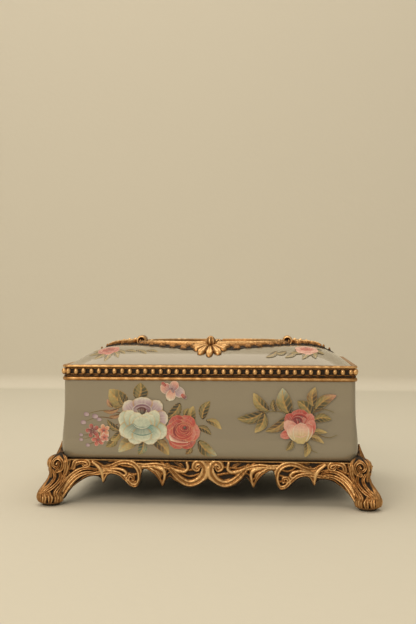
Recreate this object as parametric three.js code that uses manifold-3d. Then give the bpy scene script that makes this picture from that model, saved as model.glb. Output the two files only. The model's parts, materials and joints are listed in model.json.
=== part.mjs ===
// A porcelain trinket box with gilt mounts: a glazed body on a scrolled stand with four feet,
// and a domed lid with a beaded band and a cartouche, hinged along its rear edge.
// Units are millimetres. X runs along the box, the front faces -Y, +Z is up, and the origin is
// on the table under the middle of the box.
import * as THREE from "three";
import { mergeVertices } from "three/addons/utils/BufferGeometryUtils.js";
import Module from "manifold-3d";

const wasm = await Module();
wasm.setup();

// Driving dimensions
const HALF_LENGTH = 106.5; // porcelain body at its top edge, half of its length
const HALF_DEPTH = 67.5; // and half of its depth
const CORNER_RADIUS = 4;
const SQUARE = 0.5; // the radius of a corner that is as good as sharp
const WALL = 5;
const GAP = 0.3; // between pieces that rest on each other
const FELT = 0.8;
const STAND_TOP = 32.2;
const BODY_TOP = 90.8;
const RIM_TOP = 92.6;
const BAND_BOTTOM = RIM_TOP + GAP;
const BAND_TOP = 101.3;
const DOME_RISE = 13.2;
const BULGE = 1.8; // how far the body swells outwards just above the stand
const TOE_OUT = 7.5; // how far the middle of a toe stands out from the corner

// Beading
const BEAD_RADIUS = 1.6;
const BEAD_HEIGHT = 4.5; // beads are egg-shaped, taller than they are wide
const BEAD_PITCH = 5.72;
const BEADS_ALONG = 37;
const BEADS_ACROSS = 23;
const STRIP = 0.5; // thickness of the strip behind a row
const BEAD_STAND = 1.8; // from the strip's rear face out to the middle of a bead

// Hinges
const HINGE_AT = 62; // from the middle of the box to the middle of each hinge
const HINGE_LENGTH = 26;
const KNUCKLE_RADIUS = 1.8;
const PIN_RADIUS = 0.7;
const PIN_BORE_RADIUS = 0.95;
const LEAF_THICKNESS = 0.75;
const RIM_OUT = 1.4; // how far the rim and the band stand out from the body's top edge
const HINGE_Y = HALF_DEPTH + RIM_OUT + GAP + KNUCKLE_RADIUS;
const HINGE_Z = (RIM_TOP + BAND_BOTTOM) / 2;

// Finishes
const glaze = new THREE.MeshStandardMaterial({ color: "#aeb2aa", roughness: 0.15, metalness: 0 });
const gilding = new THREE.MeshStandardMaterial({ color: "#b98a52", roughness: 0.4, metalness: 0.8 });
const velvet = new THREE.MeshStandardMaterial({ color: "#6d1f2a", roughness: 0.95, metalness: 0 });
const felt = new THREE.MeshStandardMaterial({ color: "#3d3a34", roughness: 1, metalness: 0 });
const brass = new THREE.MeshStandardMaterial({ color: "#b8964f", roughness: 0.3, metalness: 1 });

// Solids

function solid(geometry) {
  const bare = geometry.clone();
  bare.deleteAttribute("normal");
  bare.deleteAttribute("uv");
  const merged = mergeVertices(bare, 1e-4);
  return new wasm.Manifold(
    new wasm.Mesh({
      numProp: 3,
      vertProperties: merged.attributes.position.array,
      triVerts: new Uint32Array(merged.index.array),
    }),
  );
}

function geometryOf(manifold) {
  const mesh = manifold.getMesh();
  return new THREE.BufferGeometry()
    .setAttribute("position", new THREE.BufferAttribute(mesh.vertProperties, 3))
    .setIndex(new THREE.BufferAttribute(mesh.triVerts, 1));
}

// A rectangle with rounded corners, as points anticlockwise seen from above.
function roundedLoop(halfX, halfY, radius, cornerSteps = 4) {
  const loop = [];
  const corners = [
    [1, 1],
    [-1, 1],
    [-1, -1],
    [1, -1],
  ];
  corners.forEach(([sx, sy], quarter) => {
    for (let i = 0; i <= cornerSteps; i++) {
      const angle = (quarter + i / cornerSteps) * (Math.PI / 2);
      loop.push([
        sx * (halfX - radius) + radius * Math.cos(angle),
        sy * (halfY - radius) + radius * Math.sin(angle),
      ]);
    }
  });
  return loop;
}

// A skin through rounded rectangles stacked one after another. Each ring is { out, z, radius }: out is
// measured from the body's top edge, and is negative inside it. A closed skin joins its last ring to
// its first.
function ringSkin(rings, closed) {
  const positions = [];
  const loops = rings.map(({ out, z, radius = CORNER_RADIUS + out }) => {
    const first = positions.length / 3;
    const rounding = Math.min(Math.max(radius, 0.5), 0.8 * (HALF_DEPTH + out));
    const loop = roundedLoop(HALF_LENGTH + out, HALF_DEPTH + out, rounding);
    loop.forEach(([x, y]) => positions.push(x, y, z));
    return { first, count: loop.length };
  });
  const faces = [];
  const steps = closed ? loops.length : loops.length - 1;
  for (let k = 0; k < steps; k++) {
    const a = loops[k];
    const b = loops[(k + 1) % loops.length];
    for (let i = 0; i < a.count; i++) {
      const j = (i + 1) % a.count;
      faces.push(a.first + i, a.first + j, b.first + j);
      faces.push(a.first + i, b.first + j, b.first + i);
    }
  }
  if (!closed) {
    const start = loops[0];
    const end = loops[loops.length - 1];
    for (let i = 1; i < start.count - 1; i++) {
      faces.push(start.first, start.first + i + 1, start.first + i);
      faces.push(end.first, end.first + i, end.first + i + 1);
    }
  }
  return new THREE.BufferGeometry()
    .setAttribute("position", new THREE.Float32BufferAttribute(positions, 3))
    .setIndex(faces);
}

function box(sizeX, sizeY, sizeZ, x, y, z) {
  return new THREE.BoxGeometry(sizeX, sizeY, sizeZ).translate(x, y, z);
}

function cylinderAlongX(radius, length, x, y, z, sides = 10) {
  return new THREE.CylinderGeometry(radius, radius, length, sides).rotateZ(Math.PI / 2).translate(x, y, z);
}

// A plan outline, drawn from above, as an upright slab.
function slab(outline, bottom, top) {
  const shape = new THREE.Shape(outline);
  const geometry = new THREE.ExtrudeGeometry(shape, { depth: top - bottom, bevelEnabled: false });
  return geometry.translate(0, 0, bottom);
}

function mirroredInX(points) {
  return points.map((p) => new THREE.Vector2(-p.x, p.y)).reverse();
}

function mirroredInY(points) {
  return points.map((p) => new THREE.Vector2(p.x, -p.y)).reverse();
}

// Porcelain

const BODY_FLOOR = 38;
const BULGE_Z = 43;
const FOOT_RING_IN = 0.6; // the body tucks in where it meets the stand

function bodyShell() {
  return ringSkin(
    [
      { out: -FOOT_RING_IN, z: STAND_TOP + GAP },
      { out: BULGE - 0.5, z: STAND_TOP + 4 },
      { out: BULGE, z: BULGE_Z },
      { out: 0.5, z: 60 },
      { out: 0, z: 76 },
      { out: 0, z: BODY_TOP },
      { out: -WALL, z: BODY_TOP },
      { out: -WALL, z: BODY_FLOOR },
    ],
    false,
  );
}

// The lid's outer surface: how far in from its edge, and how high above it.
const DOME_PROFILE = [
  [0, 0],
  [5, 4.2],
  [11, 7.6],
  [19, 10.8],
  [34, 12.9],
  [62, DOME_RISE],
];
const LID_EDGE_OUT = -2.8;
const LID_EDGE_Z = 98.3;

function domeRings(raise, inset) {
  return DOME_PROFILE.map(([from, rise]) => ({
    out: LID_EDGE_OUT - inset - from,
    z: BAND_TOP + rise + raise,
    radius: 3 + from * 0.35,
  }));
}

// Everything under the lid's outer surface, raised by a given amount.
function underDome(raise) {
  const skirt = { out: LID_EDGE_OUT + 1, z: BAND_BOTTOM - 10, radius: 3 };
  const [edge, ...rest] = domeRings(raise, 0);
  return solid(ringSkin([skirt, { ...edge, out: LID_EDGE_OUT + 1 }, ...rest], false));
}

function lidShell() {
  const outer = domeRings(0, 0);
  const inner = domeRings(-WALL + 0.5, WALL).reverse().slice(1, -1);
  const foot = [
    { out: LID_EDGE_OUT - WALL, z: LID_EDGE_Z, radius: 2 },
    { out: LID_EDGE_OUT, z: LID_EDGE_Z, radius: 2 },
  ];
  const crown = { out: -HALF_DEPTH + 6, z: BAND_TOP + DOME_RISE - WALL + 0.5, radius: 5 };
  return ringSkin([crown, ...inner, ...foot, ...outer], false);
}

// Gilt mounts on the joint between the body and the lid

const RIM_BOTTOM = 89.9;
const RIM_FLANGE_BOTTOM = BODY_TOP + GAP;

function hingeRecess(low, high) {
  return [-1, 1].map((side) =>
    solid(
      box(
        HINGE_LENGTH + 2 * GAP,
        WALL + RIM_OUT + 2 * GAP,
        high - low,
        side * HINGE_AT,
        HALF_DEPTH + RIM_OUT + GAP - (WALL + RIM_OUT) / 2,
        (low + high) / 2,
      ),
    ),
  );
}

// An angle section: a lip outside the porcelain, and a flange over the top of its wall.
function bodyRim() {
  const ring = solid(
    ringSkin(
      [
        { out: GAP, z: RIM_BOTTOM },
        { out: RIM_OUT, z: RIM_BOTTOM },
        { out: RIM_OUT, z: RIM_TOP },
        { out: -WALL, z: RIM_TOP },
        { out: -WALL, z: RIM_FLANGE_BOTTOM },
        { out: GAP, z: RIM_FLANGE_BOTTOM },
      ],
      true,
    ),
  );
  const recesses = hingeRecess(RIM_TOP - LEAF_THICKNESS - 0.2, RIM_TOP + 1);
  return geometryOf(recesses.reduce((rest, cut) => rest.subtract(cut), ring));
}

const CHANNEL_BOTTOM = 93.7;
const CHANNEL_TOP = 99.3;
const BEAD_Z = (CHANNEL_BOTTOM + CHANNEL_TOP) / 2;
const CORNER_BEAD_OUT = 0.5;
const CHANNEL_OUT = -1.6;

// A channel for the beads between two fillets, with a ledge inside that carries the porcelain.
function lidBand() {
  const ring = solid(
    ringSkin(
      [
        { out: -WALL, z: BAND_BOTTOM },
        { out: RIM_OUT - 0.2, z: BAND_BOTTOM },
        { out: RIM_OUT - 0.2, z: CHANNEL_BOTTOM },
        { out: CHANNEL_OUT, z: CHANNEL_BOTTOM, radius: SQUARE },
        { out: CHANNEL_OUT, z: CHANNEL_TOP, radius: SQUARE },
        { out: RIM_OUT + 0.1, z: CHANNEL_TOP },
        { out: RIM_OUT + 0.1, z: BAND_TOP - 0.8 },
        { out: RIM_OUT - 0.7, z: BAND_TOP },
        { out: LID_EDGE_OUT + GAP, z: BAND_TOP, radius: 2 },
        { out: LID_EDGE_OUT + GAP, z: LID_EDGE_Z - GAP, radius: 2 },
        { out: -WALL, z: LID_EDGE_Z - GAP },
      ],
      true,
    ),
  );
  const recesses = hingeRecess(BAND_BOTTOM - 1, BAND_BOTTOM + LEAF_THICKNESS + 0.2);
  return geometryOf(recesses.reduce((rest, cut) => rest.subtract(cut), ring));
}

// One side's beads on their backing strip, lying along X with the beads facing -Y and the strip's
// rear face at Y = 0.
function beadRow(count) {
  const height = CHANNEL_TOP - CHANNEL_BOTTOM - 2 * GAP;
  let row = solid(box(count * BEAD_PITCH - 1.4, STRIP, height, 0, -STRIP / 2, 0));
  const ball = new THREE.SphereGeometry(BEAD_RADIUS, 6, 3);
  const bead = solid(ball.scale(1, 1, BEAD_HEIGHT / 2 / BEAD_RADIUS));
  for (let i = 0; i < count; i++) {
    row = row.add(bead.translate([(i - (count - 1) / 2) * BEAD_PITCH, -BEAD_STAND, 0]));
  }
  return geometryOf(row);
}

// The bead that closes a corner between two rows.
function cornerBead() {
  const bead = new THREE.SphereGeometry(BEAD_RADIUS + 0.1, 8, 5).rotateX(Math.PI / 2);
  return bead.scale(1, 1, BEAD_HEIGHT / 2 / BEAD_RADIUS);
}

// Gilt cartouche on the lid: each piece has a plan outline, and lies on the dome at an even thickness.

const CARTOUCHE_LIFT = 3.4;

function onDome(outline, lift) {
  const tall = solid(slab(outline, BAND_TOP, BAND_TOP + DOME_RISE + 12));
  return tall.intersect(underDome(lift)).subtract(underDome(GAP));
}

const SCROLL_LIFT = 8.6;
const SCROLL_AT = 58;
const SCROLL_RADIUS = 6;

function scrollOutline(side) {
  const circle = new THREE.Path().absarc(side * SCROLL_AT, 0, SCROLL_RADIUS, 0, 2 * Math.PI);
  return circle.getPoints(6).slice(0, -1);
}

// From the scroll to the middle of the front, a rail that widens into leafage.
function railOutline() {
  const half = new THREE.Path();
  half.moveTo(0, -34);
  half.quadraticCurveTo(34, -34, 52, -9);
  half.lineTo(61, -11);
  half.quadraticCurveTo(58, -34, 36, -40);
  half.quadraticCurveTo(24, -49, 10, -48.5);
  half.lineTo(0, -47);
  const points = half.getPoints(5);
  const unique = points.filter((p, i) => i === 0 || p.distanceTo(points[i - 1]) > 1e-3);
  return [...unique, ...mirroredInX(unique).slice(1, -1)];
}

const ACANTHUS_LOBES = [
  [11, -49.6],
  [14, -52],
  [8.5, -52.6],
  [8.5, -56],
  [4, -55.6],
];
const ACANTHUS_TIP = -59;

function acanthusOutline() {
  const side = ACANTHUS_LOBES.map(([x, y]) => new THREE.Vector2(x, y)).reverse();
  return [new THREE.Vector2(0, ACANTHUS_TIP), ...side, ...mirroredInX(side)];
}

function sprayOutline(side) {
  const edge = new THREE.Path();
  edge.moveTo(65, 6);
  edge.quadraticCurveTo(72, 9, 76, 5);
  edge.quadraticCurveTo(82, 7, 86, 3);
  edge.quadraticCurveTo(91, 3, 96, 0);
  const upper = edge.getPoints(3).filter((p, i, all) => i === 0 || p.distanceTo(all[i - 1]) > 1e-3);
  const whole = [...upper, ...mirroredInY(upper).slice(1)];
  return side > 0 ? whole.reverse() : mirroredInX(whole).reverse();
}

// Stand

const TRAY_IN = 2; // from the body's top edge in to the tray's edge
const TRAY_BOTTOM = 29;
const APRON_THICKNESS = 4.6;
const APRON_END = 99.1;
const APRON_SIDE_END = 60.1;
const APRON_FACE_OUT = -TRAY_IN + GAP + APRON_THICKNESS;

function standTray() {
  return ringSkin(
    [
      { out: -TRAY_IN, z: TRAY_BOTTOM },
      { out: -TRAY_IN, z: STAND_TOP },
    ],
    false,
  );
}

// The lower edge of half an apron, from its middle out to the foot: a large C-scroll, then a hanging
// leaf. The long aprons go on to a smaller scroll and a pointed leaf.
function apronEdge(long) {
  const edge = new THREE.Path();
  edge.moveTo(0, 20.5);
  edge.bezierCurveTo(3, 13, 16, 11, 24, 17);
  edge.lineTo(28, 21);
  edge.lineTo(33, 13.8);
  edge.quadraticCurveTo(37, 21, 44, 23.5);
  if (long) {
    edge.lineTo(48, 24);
    edge.bezierCurveTo(49, 12, 57, 9, 62, 16);
    edge.quadraticCurveTo(66, 20, 73, 20.5);
    edge.lineTo(76.5, 15);
    edge.lineTo(80, 20.5);
    edge.quadraticCurveTo(92, 21.5, APRON_END, 14);
  } else {
    edge.quadraticCurveTo(54, 23, APRON_SIDE_END, 15);
  }
  return edge.getPoints(5);
}

function apron(long) {
  const end = long ? APRON_END : APRON_SIDE_END;
  const lower = apronEdge(long).filter((p, i, all) => i === 0 || p.distanceTo(all[i - 1]) > 1e-3);
  const outline = [
    ...mirroredInX(lower).slice(0, -1),
    ...lower,
    new THREE.Vector2(end, STAND_TOP),
    new THREE.Vector2(-end, STAND_TOP),
  ];
  const shape = new THREE.Shape(outline);
  const plate = new THREE.ExtrudeGeometry(shape, { depth: APRON_THICKNESS, bevelEnabled: false });
  return plate.rotateX(Math.PI / 2);
}

// A foot at the corner (+X, -Y), as rounds stacked from the toe to the scroll beside the body.
// Each round is [z, how far its middle stands out from the corner along X and along -Y, radius].
const FOOT_ROUNDS = [
  [FELT + GAP, 6.5, 7.5],
  [3, 7, 8.5],
  [8, TOE_OUT, 10],
  [13, 5, 10],
  [18, 2.1, 9.4],
  [24, 1.1, 8.8],
  [28, 1.2, 8.6],
  [32, 1.2, 8.2],
  [35, 1, 6],
  [37, 1, 3],
];
const FOOT_SIDES = 14;

function foot() {
  const cornerX = HALF_LENGTH + 1;
  const cornerY = -HALF_DEPTH - 1;
  const positions = [];
  FOOT_ROUNDS.forEach(([z, out, radius]) => {
    for (let i = 0; i < FOOT_SIDES; i++) {
      const angle = (i / FOOT_SIDES) * 2 * Math.PI;
      positions.push(cornerX + out + radius * Math.cos(angle), cornerY - out + radius * Math.sin(angle), z);
    }
  });
  const faces = [];
  for (let k = 0; k < FOOT_ROUNDS.length - 1; k++) {
    for (let i = 0; i < FOOT_SIDES; i++) {
      const j = (i + 1) % FOOT_SIDES;
      const a = k * FOOT_SIDES;
      const b = a + FOOT_SIDES;
      faces.push(a + i, a + j, b + j, a + i, b + j, b + i);
    }
  }
  const last = (FOOT_ROUNDS.length - 1) * FOOT_SIDES;
  for (let i = 1; i < FOOT_SIDES - 1; i++) {
    faces.push(0, i + 1, i, last, last + i, last + i + 1);
  }
  const whole = new THREE.BufferGeometry()
    .setAttribute("position", new THREE.Float32BufferAttribute(positions, 3))
    .setIndex(faces);
  const clear = { out: BULGE + GAP, radius: CORNER_RADIUS + BULGE };
  const bodyRoom = ringSkin(
    [
      { ...clear, z: STAND_TOP },
      { ...clear, z: BODY_TOP },
    ],
    false,
  );
  const trayRoom = ringSkin(
    [
      { out: GAP - TRAY_IN, z: TRAY_BOTTOM - GAP },
      { out: GAP - TRAY_IN, z: STAND_TOP + GAP },
    ],
    false,
  );
  return geometryOf(solid(whole).subtract(solid(bodyRoom)).subtract(solid(trayRoom)));
}

function feltPad() {
  return new THREE.CylinderGeometry(6, 6, FELT, 12).rotateX(Math.PI / 2);
}

// Lining

const LINING_THICKNESS = 1.6;
const CUSHION_TOP = 43;
const LINING_TOP = 89;

function floorCushion() {
  const edge = -WALL - GAP;
  return ringSkin(
    [
      { out: edge, z: BODY_FLOOR + GAP, radius: 1 },
      { out: edge, z: CUSHION_TOP - 1.5, radius: 1 },
      { out: edge - 2, z: CUSHION_TOP, radius: 1 },
    ],
    false,
  );
}

// A wall lining that stands on the cushion: it is length long, and its inner face looks towards -Y.
function liningPanel(length) {
  const height = LINING_TOP - CUSHION_TOP - GAP;
  return new THREE.BoxGeometry(length, LINING_THICKNESS, height).translate(0, -LINING_THICKNESS / 2, 0);
}

const LID_LINING_BOTTOM = 93.3;

function lidLining() {
  const edge = -WALL - GAP;
  return ringSkin(
    [
      { out: edge - 2.5, z: LID_LINING_BOTTOM, radius: 2 },
      { out: edge, z: LID_LINING_BOTTOM + 1.5, radius: 2 },
      { out: edge, z: LID_EDGE_Z - 1, radius: 2 },
    ],
    false,
  );
}

// Hinges

const LEAF_IN = 5.6; // how far a leaf runs in from the rim's rear face
const KNUCKLES = 5;
const KNUCKLE_GAP = 0.15;
const RIVET_AT = 8; // from the middle of the hinge
const RIVET_RADIUS = 0.9;

// A leaf lies in the joint. The body's leaf has the odd knuckles, and the lid's the even ones.
function hingeLeaf(onBody) {
  const rear = HALF_DEPTH + RIM_OUT;
  const z = onBody ? RIM_TOP - LEAF_THICKNESS / 2 : BAND_BOTTOM + LEAF_THICKNESS / 2;
  let leaf = solid(box(HINGE_LENGTH, LEAF_IN, LEAF_THICKNESS, 0, rear - LEAF_IN / 2, z));
  const knuckleLength = HINGE_LENGTH / KNUCKLES;
  for (let k = onBody ? 0 : 1; k < KNUCKLES; k += 2) {
    const x = (k - (KNUCKLES - 1) / 2) * knuckleLength;
    const length = knuckleLength - KNUCKLE_GAP;
    const reach = HINGE_Y - rear + 0.5;
    leaf = leaf.add(solid(cylinderAlongX(KNUCKLE_RADIUS, length, x, HINGE_Y, HINGE_Z)));
    leaf = leaf.add(solid(box(length, reach, LEAF_THICKNESS, x, rear - 0.5 + reach / 2, z)));
  }
  leaf = leaf.subtract(solid(cylinderAlongX(PIN_BORE_RADIUS, HINGE_LENGTH + 2, 0, HINGE_Y, HINGE_Z)));
  for (const x of [-RIVET_AT, RIVET_AT]) {
    const hole = new THREE.CylinderGeometry(RIVET_RADIUS + 0.2, RIVET_RADIUS + 0.2, 4, 10);
    leaf = leaf.subtract(solid(hole.rotateX(Math.PI / 2).translate(x, rear - LEAF_IN / 2, z)));
  }
  return geometryOf(leaf);
}

function hingePin() {
  let pin = solid(cylinderAlongX(PIN_RADIUS, HINGE_LENGTH + 0.6, 0, 0, 0));
  for (const side of [-1, 1]) {
    const headAt = side * (HINGE_LENGTH / 2 + 0.5);
    pin = pin.add(solid(cylinderAlongX(KNUCKLE_RADIUS * 0.8, 0.6, headAt, 0, 0)));
  }
  return geometryOf(pin);
}

// A rivet through a leaf, along Z, filed flush with it.
function hingeRivet() {
  const rivet = new THREE.CylinderGeometry(RIVET_RADIUS, RIVET_RADIUS, LEAF_THICKNESS - 0.1, 10);
  return rivet.rotateX(Math.PI / 2);
}

// The assembly

function mesh(name, geometry, material) {
  const made = new THREE.Mesh(geometry, material);
  made.name = name;
  return made;
}

function standGroup() {
  const stand = new THREE.Group();
  stand.add(mesh("stand_tray", standTray(), gilding));

  const faces = [
    ["front", true, 0],
    ["right", false, 1],
    ["rear", true, 2],
    ["left", false, 3],
  ];
  faces.forEach(([side, long, quarter]) => {
    const turned = new THREE.Group();
    turned.rotation.z = (quarter * Math.PI) / 2;
    const plate = mesh(`apron_${side}`, apron(long), gilding);
    plate.position.y = -(long ? HALF_DEPTH : HALF_LENGTH) - APRON_FACE_OUT + APRON_THICKNESS;
    turned.add(plate);
    stand.add(turned);
  });

  const corners = [
    ["front_right", 1, 1],
    ["front_left", -1, 1],
    ["rear_right", 1, -1],
    ["rear_left", -1, -1],
  ];
  corners.forEach(([corner, sx, sy]) => {
    const leg = mesh(`foot_${corner}`, foot(), gilding);
    leg.scale.set(sx, sy, 1);
    stand.add(leg);
    const toe = FOOT_ROUNDS[0][1] + 1;
    const pad = mesh(`felt_pad_${corner}`, feltPad(), felt);
    pad.position.set(sx * (HALF_LENGTH + toe), -sy * (HALF_DEPTH + toe), FELT / 2);
    stand.add(pad);
  });
  return stand;
}

function liningGroup() {
  const lining = new THREE.Group();
  lining.add(mesh("floor_cushion", floorCushion(), velvet));
  const middle = (CUSHION_TOP + GAP + LINING_TOP) / 2;
  const sides = [
    ["rear", HALF_LENGTH, HALF_DEPTH, 0],
    ["left", HALF_DEPTH, HALF_LENGTH, 1],
    ["front", HALF_LENGTH, HALF_DEPTH, 2],
    ["right", HALF_DEPTH, HALF_LENGTH, 3],
  ];
  sides.forEach(([side, along, away, quarter]) => {
    const turned = new THREE.Group();
    turned.rotation.z = (quarter * Math.PI) / 2;
    const inset = side === "left" || side === "right" ? LINING_THICKNESS + 2 * GAP : GAP;
    const panel = mesh(`lining_${side}`, liningPanel(2 * (along - WALL - inset)), velvet);
    panel.position.set(0, away - WALL - GAP, middle);
    turned.add(panel);
    lining.add(turned);
  });
  return lining;
}

function hingeGroup(side, x) {
  const hinge = new THREE.Group();
  hinge.position.x = x;
  hinge.add(mesh(`hinge_leaf_body_${side}`, hingeLeaf(true), brass));
  hinge.add(mesh(`hinge_leaf_lid_${side}`, hingeLeaf(false), brass));
  const pin = mesh(`hinge_pin_${side}`, hingePin(), brass);
  pin.position.set(0, HINGE_Y, HINGE_Z);
  hinge.add(pin);
  [
    ["body", RIM_TOP - LEAF_THICKNESS / 2],
    ["lid", BAND_BOTTOM + LEAF_THICKNESS / 2],
  ].forEach(([part, z]) => {
    [
      ["inner", -Math.sign(x)],
      ["outer", Math.sign(x)],
    ].forEach(([place, way]) => {
      const rivet = mesh(`hinge_rivet_${part}_${side}_${place}`, hingeRivet(), brass);
      rivet.position.set(way * RIVET_AT, HALF_DEPTH + RIM_OUT - LEAF_IN / 2, z);
      hinge.add(rivet);
    });
  });
  return hinge;
}

function beadingGroup() {
  const beading = new THREE.Group();
  const rows = [
    ["front", BEADS_ALONG, HALF_DEPTH, 0],
    ["right", BEADS_ACROSS, HALF_LENGTH, 1],
    ["rear", BEADS_ALONG, HALF_DEPTH, 2],
    ["left", BEADS_ACROSS, HALF_LENGTH, 3],
  ];
  rows.forEach(([side, count, away, quarter]) => {
    const turned = new THREE.Group();
    turned.rotation.z = (quarter * Math.PI) / 2;
    const row = mesh(`bead_row_${side}`, beadRow(count), gilding);
    row.position.set(0, -away - CHANNEL_OUT - GAP, BEAD_Z);
    turned.add(row);
    beading.add(turned);
  });
  [-1, 1].forEach((sy) => {
    [-1, 1].forEach((sx) => {
      const corner = `${sy < 0 ? "front" : "rear"}_${sx < 0 ? "left" : "right"}`;
      const bead = mesh(`bead_corner_${corner}`, cornerBead(), gilding);
      bead.position.set(sx * (HALF_LENGTH + CORNER_BEAD_OUT), sy * (HALF_DEPTH + CORNER_BEAD_OUT), BEAD_Z);
      beading.add(bead);
    });
  });
  return beading;
}

function cartoucheGroup() {
  const cartouche = new THREE.Group();
  const rail = onDome(railOutline(), CARTOUCHE_LIFT);
  const acanthus = onDome(acanthusOutline(), CARTOUCHE_LIFT - 1);
  [
    ["front", 1],
    ["rear", -1],
  ].forEach(([side, sy]) => {
    const pieces = [
      mesh(`cartouche_rail_${side}`, geometryOf(rail), gilding),
      mesh(`cartouche_acanthus_${side}`, geometryOf(acanthus), gilding),
    ];
    pieces.forEach((piece) => {
      piece.scale.y = sy;
      cartouche.add(piece);
    });
  });
  [
    ["left", -1],
    ["right", 1],
  ].forEach(([side, sx]) => {
    const scroll = onDome(scrollOutline(sx), SCROLL_LIFT);
    const spray = onDome(sprayOutline(sx), CARTOUCHE_LIFT - 1.5);
    cartouche.add(mesh(`cartouche_scroll_${side}`, geometryOf(scroll), gilding));
    cartouche.add(mesh(`cartouche_spray_${side}`, geometryOf(spray), gilding));
  });
  return cartouche;
}

const trinketBox = new THREE.Group();
trinketBox.add(mesh("body_shell", bodyShell(), glaze));
trinketBox.add(mesh("body_rim", bodyRim(), gilding));
trinketBox.add(mesh("lid_shell", lidShell(), glaze));
trinketBox.add(mesh("lid_band", lidBand(), gilding));
trinketBox.add(mesh("lid_lining", lidLining(), velvet));
trinketBox.add(beadingGroup());
trinketBox.add(cartoucheGroup());
trinketBox.add(standGroup());
trinketBox.add(liningGroup());
trinketBox.add(hingeGroup("left", -HINGE_AT));
trinketBox.add(hingeGroup("right", HINGE_AT));

export default trinketBox;
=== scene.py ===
"""The looks of a porcelain trinket box with gilt mounts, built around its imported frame.

Every length is in millimetres until a mesh is made, and the frame's own axes are used: X runs along the
box, the front faces -Y, and Z is up from the table.
"""

import json
import math

import bmesh
import bpy
import numpy as np
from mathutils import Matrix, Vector


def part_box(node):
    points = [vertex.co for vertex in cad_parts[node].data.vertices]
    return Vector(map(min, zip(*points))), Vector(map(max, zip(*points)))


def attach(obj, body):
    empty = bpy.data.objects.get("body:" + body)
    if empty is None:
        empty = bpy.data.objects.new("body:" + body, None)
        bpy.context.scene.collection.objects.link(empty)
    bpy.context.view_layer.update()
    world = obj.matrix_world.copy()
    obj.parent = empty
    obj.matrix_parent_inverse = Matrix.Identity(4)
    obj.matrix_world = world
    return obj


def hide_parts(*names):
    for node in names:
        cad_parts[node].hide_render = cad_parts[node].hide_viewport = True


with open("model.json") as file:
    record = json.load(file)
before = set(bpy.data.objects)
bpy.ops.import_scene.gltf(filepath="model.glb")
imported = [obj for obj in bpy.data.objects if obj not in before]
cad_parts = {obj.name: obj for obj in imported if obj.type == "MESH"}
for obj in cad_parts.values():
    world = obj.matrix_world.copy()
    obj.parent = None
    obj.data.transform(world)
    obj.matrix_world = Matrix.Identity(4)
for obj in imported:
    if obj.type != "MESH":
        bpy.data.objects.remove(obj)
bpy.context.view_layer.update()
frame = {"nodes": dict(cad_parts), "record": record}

bl_info = {
    "name": "Porcelain Trinket Box",
    "version": (1, 0, 0),
    "blender": (4, 5, 0),
    "location": "View3D > Sidebar > Trinket Box",
    "description": "Builds a glazed trinket box with gilt mounts and painted roses",
    "category": "Add Mesh",
}

MM = 0.001
BOX, LID = "box", "lid"  # the two bodies of the frame


def node_box(node):
    """A frame node's lowest and highest corners, in millimetres."""
    return [np.array(corner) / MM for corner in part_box(node)]


# Sizes taken from the frame
RIM_OUT = 1.4  # how far the rim stands out from the body's top edge
RIM_LOW, RIM_HIGH = node_box("body_rim")
HALF = RIM_HIGH[:2] - RIM_OUT  # half the length and depth of the body's top edge
BODY_LOW, BODY_HIGH = node_box("body_shell")
BAND_LOW, BAND_HIGH = node_box("lid_band")
LID_LOW, LID_HIGH = node_box("lid_shell")
TRAY_LOW, TRAY_HIGH = node_box("stand_tray")
WALL = 5.0  # thickness of the porcelain
CORNER = 4.0  # the body's corner radius
GAP = 0.3  # between pieces that rest on each other
BODY_FLOOR = 38.0  # height of the floor inside the body


# Curves and grids


def smooth(points, steps=8):
    """Points on a Catmull-Rom curve: between two points it is the cubic whose slope at each of them is half
    the way from the point before to the point after."""
    p = np.asarray(points, float)
    p = np.concatenate([2 * p[:1] - p[1:2], p, 2 * p[-1:] - p[-2:-1]])
    t = np.linspace(0, 1, steps, endpoint=False)[None, :, None]
    a, b, c, d = p[:-3, None], p[1:-2, None], p[2:-1, None], p[3:, None]
    q = 0.5 * (2 * b + (c - a) * t + (2 * a - 5 * b + 4 * c - d) * t**2 + (3 * b - a - 3 * c + d) * t**3)
    return np.concatenate([q.reshape(-1, p.shape[1]), p[-2:-1]])


def spiral(centre, start, end, turns, begin, hand=1, points=9):
    """Points that turn round a centre while the radius falls or grows evenly from start to end."""
    t = np.linspace(0, 1, points)
    angle = math.radians(begin) + hand * 2 * math.pi * turns * t
    radius = start + (end - start) * t
    return np.stack([centre[0] + radius * np.cos(angle), centre[1] + radius * np.sin(angle)], 1)


def quads(rows, cols, round_rows=False, round_cols=False):
    """The faces of a grid of points, row after row. A round direction joins its last line to its first."""
    i = np.arange(rows if round_rows else rows - 1)[:, None]
    j = np.arange(cols if round_cols else cols - 1)[None, :]
    a, b = i * cols + j, i * cols + (j + 1) % cols
    c, d = (i + 1) % rows * cols + (j + 1) % cols, (i + 1) % rows * cols + j
    return np.stack([a, b, c, d], -1).reshape(-1, 4)


def surface(points, tone=0.0, round_rows=False, round_cols=False, flip=False):
    """A grid of points (rows, cols, 3) as a surface: its points, its faces, and a tone at each point."""
    rows, cols = points.shape[:2]
    faces = quads(rows, cols, round_rows, round_cols)
    tone = np.asarray(tone, float)
    tone = np.broadcast_to(tone, (rows, cols)) if tone.ndim < 3 else tone
    tone = tone.reshape(rows * cols, -1)
    return points.reshape(-1, 3), faces[:, ::-1] if flip else faces, tone


def joined(surfaces):
    """Several surfaces as one."""
    counts = np.cumsum([0] + [len(s[0]) for s in surfaces])
    points = np.concatenate([s[0] for s in surfaces])
    faces = np.concatenate([s[1] + n for s, n in zip(surfaces, counts)])
    return points, faces, np.concatenate([s[2] for s in surfaces])


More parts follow.
